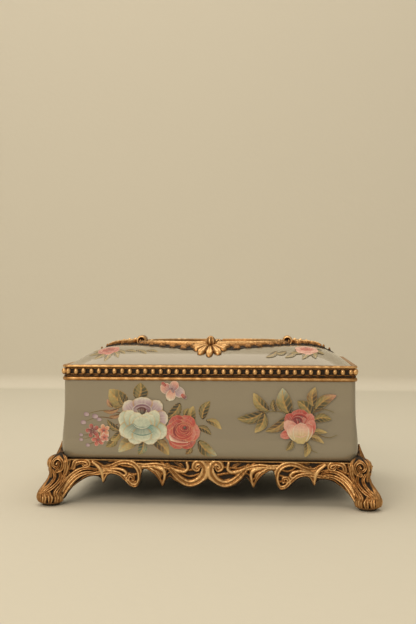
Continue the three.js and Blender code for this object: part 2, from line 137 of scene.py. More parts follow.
def turned(made, quarters):
    """A surface turned anticlockwise about the Z axis by quarter turns."""
    points, faces, tone = made
    c, s = [(1, 0), (0, 1), (-1, 0), (0, -1)][quarters % 4]
    x, y, z = points.T
    return np.stack([c * x - s * y, s * x + c * y, z], 1), faces, tone


def mirrored(made, axis):
    """A surface mirrored in the plane through the origin square to an axis, with its faces turned back."""
    points, faces, tone = made
    points = points.copy()
    points[:, axis] *= -1
    return points, faces[:, ::-1], tone


def outlines(out, radius=None, arc=7, side=24):
    """Loops round the box, one for each value of out, anticlockwise: a rectangle that is out larger than
    the body's top edge on every side, with arcs for corners and each side divided evenly."""
    out = np.asarray(out, float)[:, None]
    if radius is None:
        radius = CORNER + out
    else:
        radius = np.broadcast_to(np.asarray(radius, float), out[:, 0].shape)[:, None]
    half = HALF + out
    radius = np.clip(radius, 0.3, 0.98 * half.min(1, keepdims=True))
    turn = (np.arange(4)[:, None] + np.linspace(0, 1, arc)) * math.pi / 2
    sign = np.array([[1, 1], [-1, 1], [-1, -1], [1, -1]])
    middle = sign * (half - radius)[:, None]
    corner = middle[:, :, None] + radius[:, None, None] * np.stack([np.cos(turn), np.sin(turn)], -1)
    share = np.linspace(0, 1, side + 2)[1:-1, None]
    edge = corner[:, :, -1:] * (1 - share) + np.roll(corner, -1, 1)[:, :, :1] * share
    return np.concatenate([corner, edge], 2).reshape(len(out), -1, 2)


def carried(profile, radius=None, tone=0.0, closed=True, **loop):
    """A profile of (out, z) carried round the box. A closed profile makes a ring."""
    profile = np.asarray(profile, float)
    plan = outlines(profile[:, 0], radius, **loop)
    z = np.broadcast_to(profile[:, 1, None, None], plan.shape[:2] + (1,))
    tone = np.broadcast_to(np.asarray(tone, float), len(profile))[:, None]
    return surface(np.concatenate([plan, z], 2), tone, round_rows=closed, round_cols=True)


# Meshes


def put(name, made, material, body, stands_for=(), sharp=40, attribute="relief"):
    """Makes a piece from a surface, welds its seams and poles, and has it ride on a body. Its tone is kept
    as a point attribute: one number is relief, from hollow to crest, and three are a painted colour."""
    points, faces, tone = made
    mesh = bpy.data.meshes.new(name)
    mesh.from_pydata((points * MM).tolist(), [], faces.tolist())
    if tone.shape[1] == 1:
        mesh.attributes.new(attribute, "FLOAT", "POINT").data.foreach_set("value", tone.ravel())
    else:
        colour = np.concatenate([tone, np.ones((len(tone), 1))], 1)
        mesh.attributes.new("paint", "FLOAT_COLOR", "POINT").data.foreach_set("color", colour.ravel())
    bm = bmesh.new()
    bm.from_mesh(mesh)
    bmesh.ops.remove_doubles(bm, verts=bm.verts, dist=1e-7)
    bmesh.ops.dissolve_degenerate(bm, edges=bm.edges, dist=1e-8)
    bm.to_mesh(mesh)
    bm.free()
    mesh.polygons.foreach_set("use_smooth", np.ones(len(mesh.polygons), bool))
    mesh.set_sharp_from_angle(angle=math.radians(sharp))
    mesh.materials.append(material)
    piece = bpy.data.objects.new(name, mesh)
    bpy.context.scene.collection.objects.link(piece)
    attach(piece, body)
    if stands_for:
        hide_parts(*stands_for)
    return piece


# Carved relief


def carve(a, z, strokes, fullness=1.0):
    """The height of carved strokes over points (a, z).

    A stroke is (points, widths, heights, grooves): a curve, its half-width and its height at its start,
    middle and end, and how many grooves run along it. Its section is half an ellipse, from the curve out to
    the half-width, cut by even grooves. Where strokes cross, the higher one shows. Fullness scales the
    half-widths."""
    height = np.zeros(a.shape)
    for points, widths, heights, grooves in strokes:
        widths = np.multiply(widths, fullness)
        line = smooth(points)
        start, step = line[:-1], np.diff(line, axis=0)
        reach = max(widths)
        near = (a > line[:, 0].min() - reach) & (a < line[:, 0].max() + reach)
        near &= (z > line[:, 1].min() - reach) & (z < line[:, 1].max() + reach)
        if not near.any():
            continue
        off = np.stack([a[near], z[near]], 1)[:, None] - start
        share = np.clip((off * step).sum(2) / np.maximum((step**2).sum(1), 1e-9), 0, 1)
        gap = off - share[..., None] * step
        far = np.hypot(gap[..., 0], gap[..., 1])
        best = far.argmin(1)
        row = np.arange(len(best))
        way = (best + share[row, best]) / len(start)
        side = np.sign(step[best, 0] * gap[row, best, 1] - step[best, 1] * gap[row, best, 0])
        q = side * far[row, best] / np.interp(way, [0, 0.5, 1], widths)
        rise = np.interp(way, [0, 0.5, 1], heights) * np.sqrt(np.clip(1 - q**2, 0, 1))
        for k in range(grooves):
            at = -1 + 2 * (k + 1) / (grooves + 1)
            rise *= 1 - 0.5 * np.exp(-(((q - at) * (grooves + 1) / 0.62) ** 2))
        height[near] = np.maximum(height[near], rise)
    return height


def both_sides(strokes):
    """Strokes together with their mirror images in a = 0."""
    return strokes + [(np.asarray(p, float) * [-1, 1], w, h, g) for p, w, h, g in strokes]


def casting_noise(a, b, scale, seed):
    """A gentle waviness between -1 and 1: the sum of a few crossing sine waves with seeded directions."""
    rng = np.random.default_rng(seed)
    total = np.zeros(np.broadcast(a, b).shape)
    for _ in range(5):
        angle, phase, pitch = rng.uniform(0, math.tau), rng.uniform(0, math.tau), rng.uniform(0.7, 1.5)
        total += np.sin((a * math.cos(angle) + b * math.sin(angle)) * pitch * math.tau / scale + phase)
    return total / 5


# Materials


def linear(colour):
    """An sRGB hex colour as linear red, green and blue."""
    value = np.array([int(colour[i : i + 2], 16) for i in (1, 3, 5)]) / 255
    return np.where(value <= 0.04045, value / 12.92, ((value + 0.055) / 1.055) ** 2.4)


def rgba(colour):
    """An sRGB hex colour as a shader takes it."""
    return (*linear(colour), 1.0)


def add(tree, kind, settings=None, **inputs):
    """Adds a node. Settings are its properties. Inputs are sockets or values, named i0, i1 by their order
    on the node or by their name with underscores for spaces."""
    made = tree.nodes.new("ShaderNode" + kind)
    for key, value in (settings or {}).items():
        setattr(made, key, value)
    for key, value in inputs.items():
        socket = made.inputs[int(key[1:]) if key[1:].isdigit() else key.replace("_", " ")]
        if isinstance(value, bpy.types.NodeSocket):
            tree.links.new(value, socket)
        else:
            socket.default_value = value
    return made


def material(name):
    """A new material with its Principled shader and the object's own coordinates."""
    made = bpy.data.materials.new(name)
    made.use_nodes = True
    tree = made.node_tree
    shader = next(n for n in tree.nodes if n.type == "BSDF_PRINCIPLED")
    return made, tree, shader, add(tree, "TexCoord").outputs["Object"]


MIX = {"data_type": "RGBA"}
MULTIPLIED = {"data_type": "RGBA", "blend_type": "MULTIPLY"}
SMOOTHSTEP = {"interpolation_type": "SMOOTHSTEP"}


def mixed(colour_a, colour_b):
    """The inputs of a colour mix."""
    return {
        "i6": rgba(colour_a) if isinstance(colour_a, str) else colour_a,
        "i7": rgba(colour_b) if isinstance(colour_b, str) else colour_b,
    }


def antique_gilding(look):
    """Antique gilt casting: satin gold paint on the crests of a cast relief, rubbed through a dark umber
    glaze that stays in the hollows. It shows the eye bright rims against near-black recesses, and a fine
    grain from the mould."""
    made, tree, shader, place = material("antique_gilding")
    # The relief attribute also carries painted shade: it is set low on the beads' undersides and on the plate
    # under the box, so the umber shows there.
    relief = add(tree, "Attribute", {"attribute_name": "relief"}).outputs["Fac"]
    grain = add(tree, "TexNoise", Vector=place, Scale=1 / (2.2 * MM), Detail=4.0, Roughness=0.6)
    cloud = add(tree, "TexNoise", Vector=place, Scale=1 / (14 * MM), Detail=2.0)
    rough = add(tree, "Math", {"operation": "MULTIPLY_ADD"}, i0=grain.outputs[0], i1=0.42, i2=-0.21)
    worn = add(tree, "Math", {"operation": "ADD"}, i0=relief, i1=rough.outputs[0])
    bare = add(tree, "MapRange", SMOOTHSTEP, Value=worn.outputs[0], i1=0.2, i2=0.56)
    bright = add(tree, "MapRange", SMOOTHSTEP, Value=worn.outputs[0], i1=0.7, i2=1.08)
    warm = add(tree, "Mix", MIX, i0=cloud.outputs[0], **mixed(look.gold, look.gold_deep))
    crest = add(tree, "Mix", MIX, i0=bright.outputs[0], **mixed(warm.outputs[2], look.gold_crest))
    colour = add(tree, "Mix", MIX, i0=bare.outputs[0], **mixed(look.patina, crest.outputs[2]))
    tree.links.new(colour.outputs[2], shader.inputs["Base Color"])
    metal = add(tree, "MapRange", Value=bare.outputs[0], i3=0.1, i4=0.8)
    tree.links.new(metal.outputs[0], shader.inputs["Metallic"])
    dull = add(tree, "MapRange", Value=bare.outputs[0], i3=0.75, i4=0.36)
    tree.links.new(dull.outputs[0], shader.inputs["Roughness"])
    bump = add(tree, "Bump", Height=grain.outputs[0], Strength=0.35, Distance=0.25 * MM)
    tree.links.new(bump.outputs[0], shader.inputs["Normal"])
    return made


def porcelain_glaze(look):
    """Hard-paste porcelain under a tinted clear glaze: an even grey ground with the faintest clouding and a
    few dark specks from the firing, and a glassy skin that is not quite flat."""
    made, tree, shader, place = material("porcelain_glaze")
    cloud = add(tree, "TexNoise", Vector=place, Scale=1 / (45 * MM), Detail=3.0)
    speck = add(tree, "TexNoise", Vector=place, Scale=1 / (1.1 * MM), Detail=1.0)
    dot = add(tree, "MapRange", SMOOTHSTEP, Value=speck.outputs[0], i1=0.77, i2=0.82)
    ground = add(tree, "Mix", MIX, i0=cloud.outputs[0], **mixed(look.glaze, look.glaze_deep))
    fleck = add(tree, "Math", {"operation": "MULTIPLY"}, i0=dot.outputs[0], i1=0.35)
    colour = add(tree, "Mix", MIX, i0=fleck.outputs[0], **mixed(ground.outputs[2], look.glaze_fleck))
    tree.links.new(colour.outputs[2], shader.inputs["Base Color"])
    shader.inputs["Roughness"].default_value = 0.3
    shader.inputs["IOR"].default_value = 1.5
    shader.inputs["Coat Weight"].default_value = 1.0
    shader.inputs["Coat Roughness"].default_value = 0.09
    ripple = add(tree, "TexNoise", Vector=place, Scale=1 / (6 * MM), Detail=2.0)
    bump = add(tree, "Bump", Height=ripple.outputs[0], Strength=0.06, Distance=0.3 * MM)
    tree.links.new(bump.outputs[0], shader.inputs["Normal"])
    return made


def overglaze_enamel(look):
    """Overglaze enamel painting: each point's own colour, laid in short brush strokes, under the same
    glassy skin as the porcelain."""
    made, tree, shader, place = material("overglaze_enamel")
    paint = add(tree, "Attribute", {"attribute_name": "paint"}).outputs["Color"]
    brush = add(tree, "TexNoise", Vector=place, Scale=1 / (1.6 * MM), Detail=3.0, Roughness=0.65)
    share = add(tree, "MapRange", Value=brush.outputs[0], i1=0.3, i2=0.7, i3=0.86, i4=1.1).outputs[0]
    grey = add(tree, "CombineColor", i0=share, i1=share, i2=share)
    colour = add(tree, "Mix", MULTIPLIED, i0=1.0, i6=paint, i7=grey.outputs[0])
    tree.links.new(colour.outputs[2], shader.inputs["Base Color"])
    shader.inputs["Roughness"].default_value = 0.4
    shader.inputs["Coat Weight"].default_value = 0.6
    shader.inputs["Coat Roughness"].default_value = 0.08
    return made


def silk_velvet(look):
    """Short-pile silk velvet on padding: deep colour, a soft sheen where the pile turns away, and a faint
    crushed nap."""
    made, tree, shader, place = material("silk_velvet")
    nap = add(tree, "TexNoise", Vector=place, Scale=1 / (9 * MM), Detail=3.0)
    pile = add(tree, "TexNoise", Vector=place, Scale=1 / (0.6 * MM), Detail=2.0)
    colour = add(tree, "Mix", MIX, i0=nap.outputs[0], **mixed(look.velvet, look.velvet_deep))
    tree.links.new(colour.outputs[2], shader.inputs["Base Color"])
    shader.inputs["Roughness"].default_value = 0.95
    shader.inputs["Sheen Weight"].default_value = 0.7
    shader.inputs["Sheen Roughness"].default_value = 0.35
    shader.inputs["Sheen Tint"].default_value = look.velvet_sheen
    bump = add(tree, "Bump", Height=pile.outputs[0], Strength=0.5, Distance=0.3 * MM)
    tree.links.new(bump.outputs[0], shader.inputs["Normal"])
    return made


def wool_felt(look):
    """Pressed wool felt: matt, dark, with a tangle of short fibres."""
    made, tree, shader, place = material("wool_felt")
    fibre = add(tree, "TexNoise", Vector=place, Scale=1 / (0.8 * MM), Detail=4.0, Distortion=1.5)
    colour = add(tree, "Mix", MIX, i0=fibre.outputs[0], **mixed(look.felt_deep, look.felt))
    tree.links.new(colour.outputs[2], shader.inputs["Base Color"])
    shader.inputs["Roughness"].default_value = 1.0
    bump = add(tree, "Bump", Height=fibre.outputs[0], Strength=0.8, Distance=0.2 * MM)
    tree.links.new(bump.outputs[0], shader.inputs["Normal"])
    return made


def drawn_brass(look):
    """Drawn and lacquered brass, a little tarnished: fine lines along the hinge and brown clouding."""
    made, tree, shader, place = material("drawn_brass")
    lines = add(tree, "Mapping", Vector=place, Scale=(0.08, 1.0, 1.0))
    scratch = add(tree, "TexNoise", Vector=lines.outputs[0], Scale=1 / (0.35 * MM), Detail=3.0)
    cloud = add(tree, "TexNoise", Vector=place, Scale=1 / (5 * MM), Detail=3.0)
    colour = add(tree, "Mix", MIX, i0=cloud.outputs[0], **mixed(look.brass, look.brass_dull))
    tree.links.new(colour.outputs[2], shader.inputs["Base Color"])
    shader.inputs["Metallic"].default_value = 1.0
    dull = add(tree, "MapRange", Value=scratch.outputs[0], i3=0.22, i4=0.42)
    tree.links.new(dull.outputs[0], shader.inputs["Roughness"])
    return made


def linen_stage(look):
    """A matt linen cloth that gives way to a painted wall behind it: the cloth is a little paler and has the
    faint dimples of a quilted weave, and the change is soft."""
    made, tree, shader, place = material("linen_and_wall")
    depth = add(tree, "SeparateXYZ", Vector=place).outputs["Y"]
    back = add(tree, "MapRange", SMOOTHSTEP, Value=depth, i1=0.84, i2=0.88)
    tone = add(tree, "Mix", MIX, i0=back.outputs[0], i6=look.cloth, i7=look.wall)
    tree.links.new(tone.outputs[2], shader.inputs["Base Color"])
    shader.inputs["Roughness"].default_value = 0.95
    shader.inputs["Specular IOR Level"].default_value = 0.08
    dimple = add(tree, "TexVoronoi", {"feature": "SMOOTH_F1"}, Vector=place, Scale=1 / (7 * MM))
    bump = add(tree, "Bump", Height=dimple.outputs["Distance"], Strength=0.25, Distance=0.5 * MM)
    tree.links.new(bump.outputs[0], shader.inputs["Normal"])
    return made


MATERIALS = {}


def finish_of(maker):
    """A material, made the first time that it is asked for. Every maker is given the scene's colours."""
    if maker not in MATERIALS:
        MATERIALS[maker] = maker(bpy.context.scene.trinket_colours)
    return MATERIALS[maker]


# Porcelain

BULGE = 1.8  # how far the body swells outwards
BULGE_AT = 43.0  # height of the fullest part of the swell
DOME_RISE = LID_HIGH[2] - BAND_HIGH[2]
LID_HALF = LID_HIGH[:2]
DOME_RAMP = 38.0  # how far in from the edge the lid goes on rising


def body_out(z):
    """How far the body stands out from its top edge: it swells like a bell curve just above the stand, and
    tucks in below that."""
    swell = BULGE * np.exp(-(((z - BULGE_AT) / 16) ** 2))
    return swell - 2.2 * np.clip(1 - (z - BODY_LOW[2]) / 7, 0, 1) ** 2


def dome(x, y):
    """Height of the lid's glaze: from each edge it rises steeply, then ever more gently over the ramp. The
    rises from the ends and from the sides are multiplied, and a slight crown is added."""
    rise = 1.0
    crown = 1.0
    for value, half in ((x, LID_HALF[0]), (y, LID_HALF[1])):
        inset = np.clip((half - np.abs(value)) / DOME_RAMP, 0, 1)
        rise = rise * (1 - (1 - inset) ** 2.6)
        crown = crown * np.clip(1 - (value / half) ** 2, 0, 1)
    return BAND_HIGH[2] + DOME_RISE * (0.95 * rise + 0.05 * crown)


def body_surface():
    """The body as one skin: up the outside, over the top edge and down the inside to the floor. Both its
    flat ends close in on a line in the middle."""
    z = np.linspace(BODY_LOW[2], BODY_HIGH[2] - 0.6, 34)
    inset = -HALF[1] + 0.01
    outside = [(inset, BODY_LOW[2]), (body_out(BODY_LOW[2]) - 0.8, BODY_LOW[2])]
    outside += list(zip(body_out(z), z + np.where(z == z[0], 0.6, 0)))
    lip = [(-0.3, BODY_HIGH[2]), (-WALL + 0.5, BODY_HIGH[2]), (-WALL, BODY_HIGH[2] - 0.5)]
    inside = [(-WALL, 60), (-WALL, BODY_FLOOR + 2), (-WALL - 0.6, BODY_FLOOR + 0.6)]
    inside += [(-WALL - 2, BODY_FLOOR), (inset, BODY_FLOOR)]
    return carried(outside + lip + inside, closed=False, arc=9, side=30)


def lid_surface():
    """The lid as one skin: from the middle of its underside out to the edge, round it, and back over the
    dome. The dome's height is worked out at each point."""
    edge = LID_HALF[0] - HALF[0]
    inset = np.concatenate([[0], 0.35 + np.linspace(0, 1, 30) ** 1.5 * (LID_HALF[1] - 0.4)])
    under = (inset[1:] + WALL)[:-1]
    under = under[under < LID_HALF[1] - 0.5]
    out = np.concatenate([edge - under[::-1], [edge - WALL, edge - 0.4, edge], edge - inset])
    radius = np.concatenate([2 + 0.35 * under[::-1], [2, 2, 2], 2 + 0.35 * inset])
    plan = outlines(out, radius, arc=9, side=40)
    height = dome(plan[..., 0], plan[..., 1])
    n = len(under)
    height[:n] = np.maximum(height[:n] - WALL + 0.4, LID_LOW[2])
    height[n : n + 2] = LID_LOW[2]
    height[n + 2] = LID_LOW[2] + 0.4
    height[n + 3] = BAND_HIGH[2] - 0.3
    points = np.concatenate([plan, height[..., None]], 2)
    return surface(points, round_cols=True)


# Gilt mouldings round the joint

CHANNEL_OUT = -1.6  # the back of the beads' channel, measured out from the body's top edge


def bow(points, at, radius, start, end, steps=7):
    """Adds an arc to a profile, from one angle to another in degrees."""
    turn = np.radians(np.linspace(start, end, steps))
    return points + list(zip(at[0] + radius[0] * np.cos(turn), at[1] + radius[1] * np.sin(turn)))


def rim_surface():
    """The rim's section: a half-round bead outside, and a flat flange that lies over the body's wall."""
    low, high = RIM_LOW[2], RIM_HIGH[2]
    middle, tall = (low + high) / 2, (high - low) / 2
    profile = bow([(0.15, low + 0.1)], (0.35, middle), (RIM_OUT - 0.35, tall), -80, 80, 11)
    profile += [(0.2, high), (-WALL, high), (-WALL, BODY_HIGH[2] + GAP), (0.15, BODY_HIGH[2] + GAP)]
    out = np.array(profile)[:, 0]
    tone = np.where(out > -0.1, np.clip(0.25 + 0.6 * out / RIM_OUT, 0, 1), 0.55)
    return roughened(carried(profile, tone=tone, arc=9, side=120), 0.16, 9.0, 3)


def band_surface():
    """The band's section: a fillet, a deep flat channel for the beads, a bolder fillet above it, and inside
    the ledge that the lid's porcelain sits on."""
    low, high = BAND_LOW[2], BAND_HIGH[2]
    row_low, row_high = (corner[2] for corner in node_box("bead_row_front"))
    row_low, row_high = row_low - GAP, row_high + GAP
    seat = LID_HALF[0] - HALF[0] + GAP
    profile = [(-WALL, low), (0.3, low), (0.55, (low + row_low) / 2), (0.3, row_low)]
    profile += [(CHANNEL_OUT, row_low), (CHANNEL_OUT, row_high), (0.2, row_high)]
    profile = bow(profile, (0.5, (row_high + high) / 2), (RIM_OUT - 0.4, (high - row_high) / 2), -90, 90, 11)
    profile += [(0.2, high), (seat, high - 0.05), (seat, LID_LOW[2] - GAP), (-WALL, LID_LOW[2] - GAP)]
    out = np.array(profile)[:, 0]
    tone = np.where(out < -0.5, 0.0, np.clip(0.35 + 0.55 * out / RIM_OUT, 0, 1))
    tone[1:4] = 0.3
    tone[-4:-2] = 0.75
    tone[0] = tone[-1] = 0.55
    radius = np.where(out < -0.5, 1.0, CORNER + out)
    made = carried(profile, radius, tone, arc=9, side=120)
    return roughened(made, 0.14, 7.0, 4)


def roughened(made, amount, scale, seed):
    """A moulding with the slight waviness of a hand-finished casting: its outer points move up or down."""
    points, faces, tone = made
    at_an_end = np.abs(points[:, 0]) / HALF[0] > np.abs(points[:, 1]) / HALF[1]
    around = np.where(at_an_end, points[:, 1], points[:, 0])
    wave = casting_noise(around, points[:, 1] * 0.31 + points[:, 2] * 0.2, scale, seed)
    points = points.copy()
    points[:, 2] += amount * wave * np.clip(tone[:, 0] * 1.4, 0, 1)
    return points, faces, np.clip(tone + 0.12 * wave[:, None] * (tone > 0.1), 0, 1)


# Beading

BEADS_ALONG = 37  # beads on the front and the rear
BEADS_ACROSS = 23  # beads on each end
STRIP_IN = 1.4  # how much shorter a row's strip is than its beads' pitch times their number


def egg(width, height, around=10, up=7):
    """A bead: an ellipse turned about its upright axis, fuller above its middle, with poles at its ends."""
    t = np.linspace(0, math.pi, up)[:, None]
    p = np.linspace(0, math.tau, around, endpoint=False)[None, :]
    girth = width / 2 * np.sin(t) * (1 + 0.12 * np.cos(t))
    shape = np.stack([girth * np.cos(p), girth * np.sin(p), height / 2 * np.cos(t) + 0 * p], 2)
    # Painted shade: the lower part of each bead is given a lower relief tone than the rest, so the gilding
    # shows darker under the bead.
    tone = 0.95 - 0.45 * (np.cos(t) < -0.6) + 0 * p
    return surface(shape, tone[..., None], round_cols=True, flip=True)


def bead_row(side, sizes):
    """One row of beads on its strip. Each bead differs a little in size, height and place."""
    low, high = node_box("bead_row_" + side)
    along = 0 if side in ("front", "rear") else 1
    count = (BEADS_ALONG, BEADS_ACROSS)[along]
    rng = np.random.default_rng(len(side) + count)
    length = high[along] - low[along]
    pitch = (length + STRIP_IN) / count
    width = sizes.bead_width / MM
    reach = {"front": -low[1], "right": high[0], "rear": high[1], "left": -low[0]}[side]
    face, back = -reach, -reach + (high - low)[1 - along]
    middle = (low[2] + high[2]) / 2
    base = egg(width, sizes.bead_height / MM)
    beads = []
    for i in range(count):
        grow, drop, slip = rng.uniform(0.92, 1.05), rng.uniform(-0.22, 0.22), rng.uniform(-0.15, 0.15)
        place = np.array([(i - (count - 1) / 2) * pitch + slip, face + width / 2, middle + drop])
        beads.append((base[0] * grow + place, base[1], base[2]))
    a = np.linspace(-length / 2, length / 2, 160)[None, :]
    v = np.array([-1.0, -1.0, -0.55, 0.55, 1.0, 1.0])[:, None] * (high[2] - low[2]) / 2
    deep = back - np.array([0, 0.5, 0.35, 0.35, 0.5, 0])[:, None]
    wave = 0.18 * casting_noise(a, v, 5.0, count)
    strip = surface(np.stack([a + 0 * v, deep + 0 * a, middle + v + 0 * a * v], 2), 0.02, flip=False)
    lips = []
    for sign in (-1, 1):
        t = np.linspace(0, math.pi, 5)[:, None]
        thick = 0.34 + 0.1 * casting_noise(a, 0 * a, 4.0, count + sign)
        y = back - 0.45 - 0.8 * thick * np.sin(t)
        z = middle + sign * ((high[2] - low[2]) / 2 - 0.35) + thick * np.cos(t) + 0.15 * wave[:1]
        lips.append(surface(np.stack([a + 0 * t, y, z], 2), 0.55 + 0 * t[..., None] + 0 * a[..., None]))
    quarter = {"front": 0, "right": 1, "rear": 2, "left": 3}[side]
    return turned(joined(beads + [strip] + lips), quarter)


# Stand

STAND_TOP = TRAY_HIGH[2]
GROUND_OUT = 0.1  # the hollows of the relief, measured out from the body's top edge
BACK_OUT = -1.6  # the apron's back, measured in the same way
RELIEF = -node_box("apron_front")[0][1] - HALF[1] - GROUND_OUT  # from the hollows to the highest crest

# Half of an apron's lower edge, from its middle out: (along, z)
LONG_EDGE = [
    (0, 18.6), (3.5, 16.6), (8, 13.9), (13, 12.7), (19, 14.2), (24, 17), (27.8, 20), (30.4, 17.4),
    (33, 12.8), (35.2, 16.8), (38.5, 21), (42.5, 24.2), (46.6, 25.6), (48.6, 22), (49.7, 16.4), (51.6, 12.8),
    (54.2, 11.8), (57.4, 13.2), (61, 16.6), (65, 19.9), (70, 21.5), (73.6, 20.3), (75.6, 16.4), (76.9, 14.8),
    (78.3, 17.4), (80.6, 19.6), (85, 20), (90, 18.4), (95, 15.4), (99, 12.2), (102.6, 8), (105, 4),
]  # fmt: skip
SHORT_EDGE = LONG_EDGE[:8] + [
    (33, 13.6), (35.2, 17), (38, 19.8), (42, 21.6), (47, 21.4), (52, 18.6), (56, 15.6), (60, 12.2),
    (63.6, 8), (66, 4),
]  # fmt: skip


def middle_strokes():
    """The scrollwork that both kinds of apron share, for one half: a large C-scroll whose volute turns in
    beside the middle, a hooked tendril over it, and a hanging leaf."""
    return [
        ([(29.5, 28.6), (26, 24.5), (21, 19.2), (14, 15.4), (8, 16.6), (3.6, 20.6), (2.4, 26), (5, 30.2),
          (8.6, 30), (9.8, 27.2), (7.6, 25.6), (6, 27.4)], (1.6, 3.1, 1.1), (1.9, 2.8, 2.3), 1),
        ([(34, 30.6), (29.5, 28), (23.5, 25.2), (17.6, 24), (14.6, 26.4), (15.2, 30.6)], (0.7, 1.35, 1.0),
         (1.2, 2.1, 2.2), 0),
        ([(24, 30.4), (19.6, 28.6), (17.6, 26.8)], (0.5, 1.3, 0.6), (0.8, 1.4, 0.8), 1),
        ([(0, 32), (0, 26), (0, 20.6)], (1.3, 1.5, 1.0), (1.6, 1.9, 1.6), 0),
        ([(48, 27.6), (43, 25.6), (37.6, 22), (33.2, 14)], (1.5, 1.9, 0.7), (2.0, 2.5, 1.9), 1),
        ([(46.5, 28.6), (38, 27), (32.6, 25), (31.4, 20.6), (32.8, 14.6)], (0.9, 1.5, 0.7), (1.6, 2.5, 1.8),
         0),
        ([(41, 25.2), (36.4, 23.6), (34.4, 20.6), (36, 19)], (0.8, 1.0, 0.5), (2.0, 1.7, 1.2), 0),
        ([(28.4, 26.6), (32, 27.8), (38, 28.8), (46, 28.2), (51, 28.6)], (1.2, 1.6, 1.4), (2.2, 2.7, 2.4), 1),
    ]  # fmt: skip


def outer_strokes():
    """The scrollwork of a long apron beyond its hanging leaves, for one half: the smaller C-scroll with its
    volute, a curled tendril, the pointed leaf, a rolled leaf, and the strands that sweep in from the foot."""
    return [
        ([(94, 29.5), (88, 31), (82, 29.4), (76, 26.4), (70, 27.6), (65, 29.8), (59.6, 30.6), (54, 29),
          (50.2, 24.6), (49.6, 18), (52, 13.6), (56, 14), (58.6, 17.2), (57.6, 20.2), (54.8, 19.8),
          (54.6, 17.6)], (1.2, 1.9, 1.1), (1.7, 2.7, 2.4), 1),
        ([(80, 24.4), (74, 24.6), (67, 25.6), (62, 24.6), (59.6, 22.4), (61, 20.4), (63, 21.4)],
         (0.8, 1.1, 0.8), (1.7, 2.2, 2.0), 0),
        ([(86, 20.9), (79, 22.2), (72, 23), (65, 21.8), (60, 17.6), (56, 13.6)], (1.2, 1.5, 1.3),
         (2.2, 2.5, 2.4), 1),
        ([(84.6, 30.2), (79.6, 26), (77.4, 21), (76.9, 15.6)], (1.0, 1.5, 0.6), (2.2, 2.7, 1.9), 0),
        ([(70.6, 22.4), (74.4, 20.2), (76.8, 15.8)], (0.9, 1.0, 0.6), (1.9, 2.0, 1.6), 0),
        ([(98.6, 26), (97.4, 30), (93, 31.4), (88.6, 30.6), (87.6, 28), (90.4, 27), (92, 28.6)],
         (1.5, 1.6, 0.9), (2.2, 2.9, 2.4), 1),
        ([(105, 7), (102, 12.6), (97.6, 18), (92, 21.4), (86, 22.3), (80.6, 21)], (1.8, 1.5, 0.7),
         (2.6, 2.7, 1.7), 1),
        ([(105, 13), (101.6, 18.6), (97.2, 22.6), (92.4, 25), (86.6, 25.4), (82, 23.8)], (1.8, 1.4, 0.6),
         (2.6, 2.6, 1.5), 1),
        ([(104, 3), (101.4, 8), (97.6, 12.8), (92.4, 16.8)], (1.3, 1.2, 0.7), (2.4, 2.4, 1.6), 0),
        ([(105, 20), (103, 26), (101.6, 31)], (1.8, 1.6, 1.2), (2.6, 2.7, 2.2), 1),
        ([(73, 30.6), (68.4, 31.2), (63, 31.4)], (0.5, 0.7, 0.4), (0.8, 1.1, 0.6), 0),
    ]  # fmt: skip


def short_strokes():
    """The strands that join a short apron's hanging leaves to the feet, for one half."""
    return [
        ([(51, 28.6), (54.6, 30.4), (58.6, 29.4), (60, 26.4), (57.6, 25), (56.4, 27)], (1.4, 1.7, 0.9),
         (2.3, 2.8, 2.2), 1),
        ([(66, 7), (63, 12.6), (58.6, 18), (53, 21.4), (46, 22.6), (40, 22)], (1.8, 1.5, 0.7),
         (2.6, 2.7, 1.7), 1),
        ([(66, 13), (62.6, 18.6), (58.2, 22.6), (52, 25.4), (46, 26)], (1.8, 1.4, 0.6), (2.6, 2.6, 1.5), 1),
        ([(65, 3), (62.4, 8), (58.6, 12.8), (53.4, 16.8)], (1.3, 1.2, 0.7), (2.4, 2.4, 1.6), 0),
        ([(66, 20), (64, 26), (62.6, 31)], (1.8, 1.6, 1.2), (2.6, 2.7, 2.2), 1),
    ]  # fmt: skip


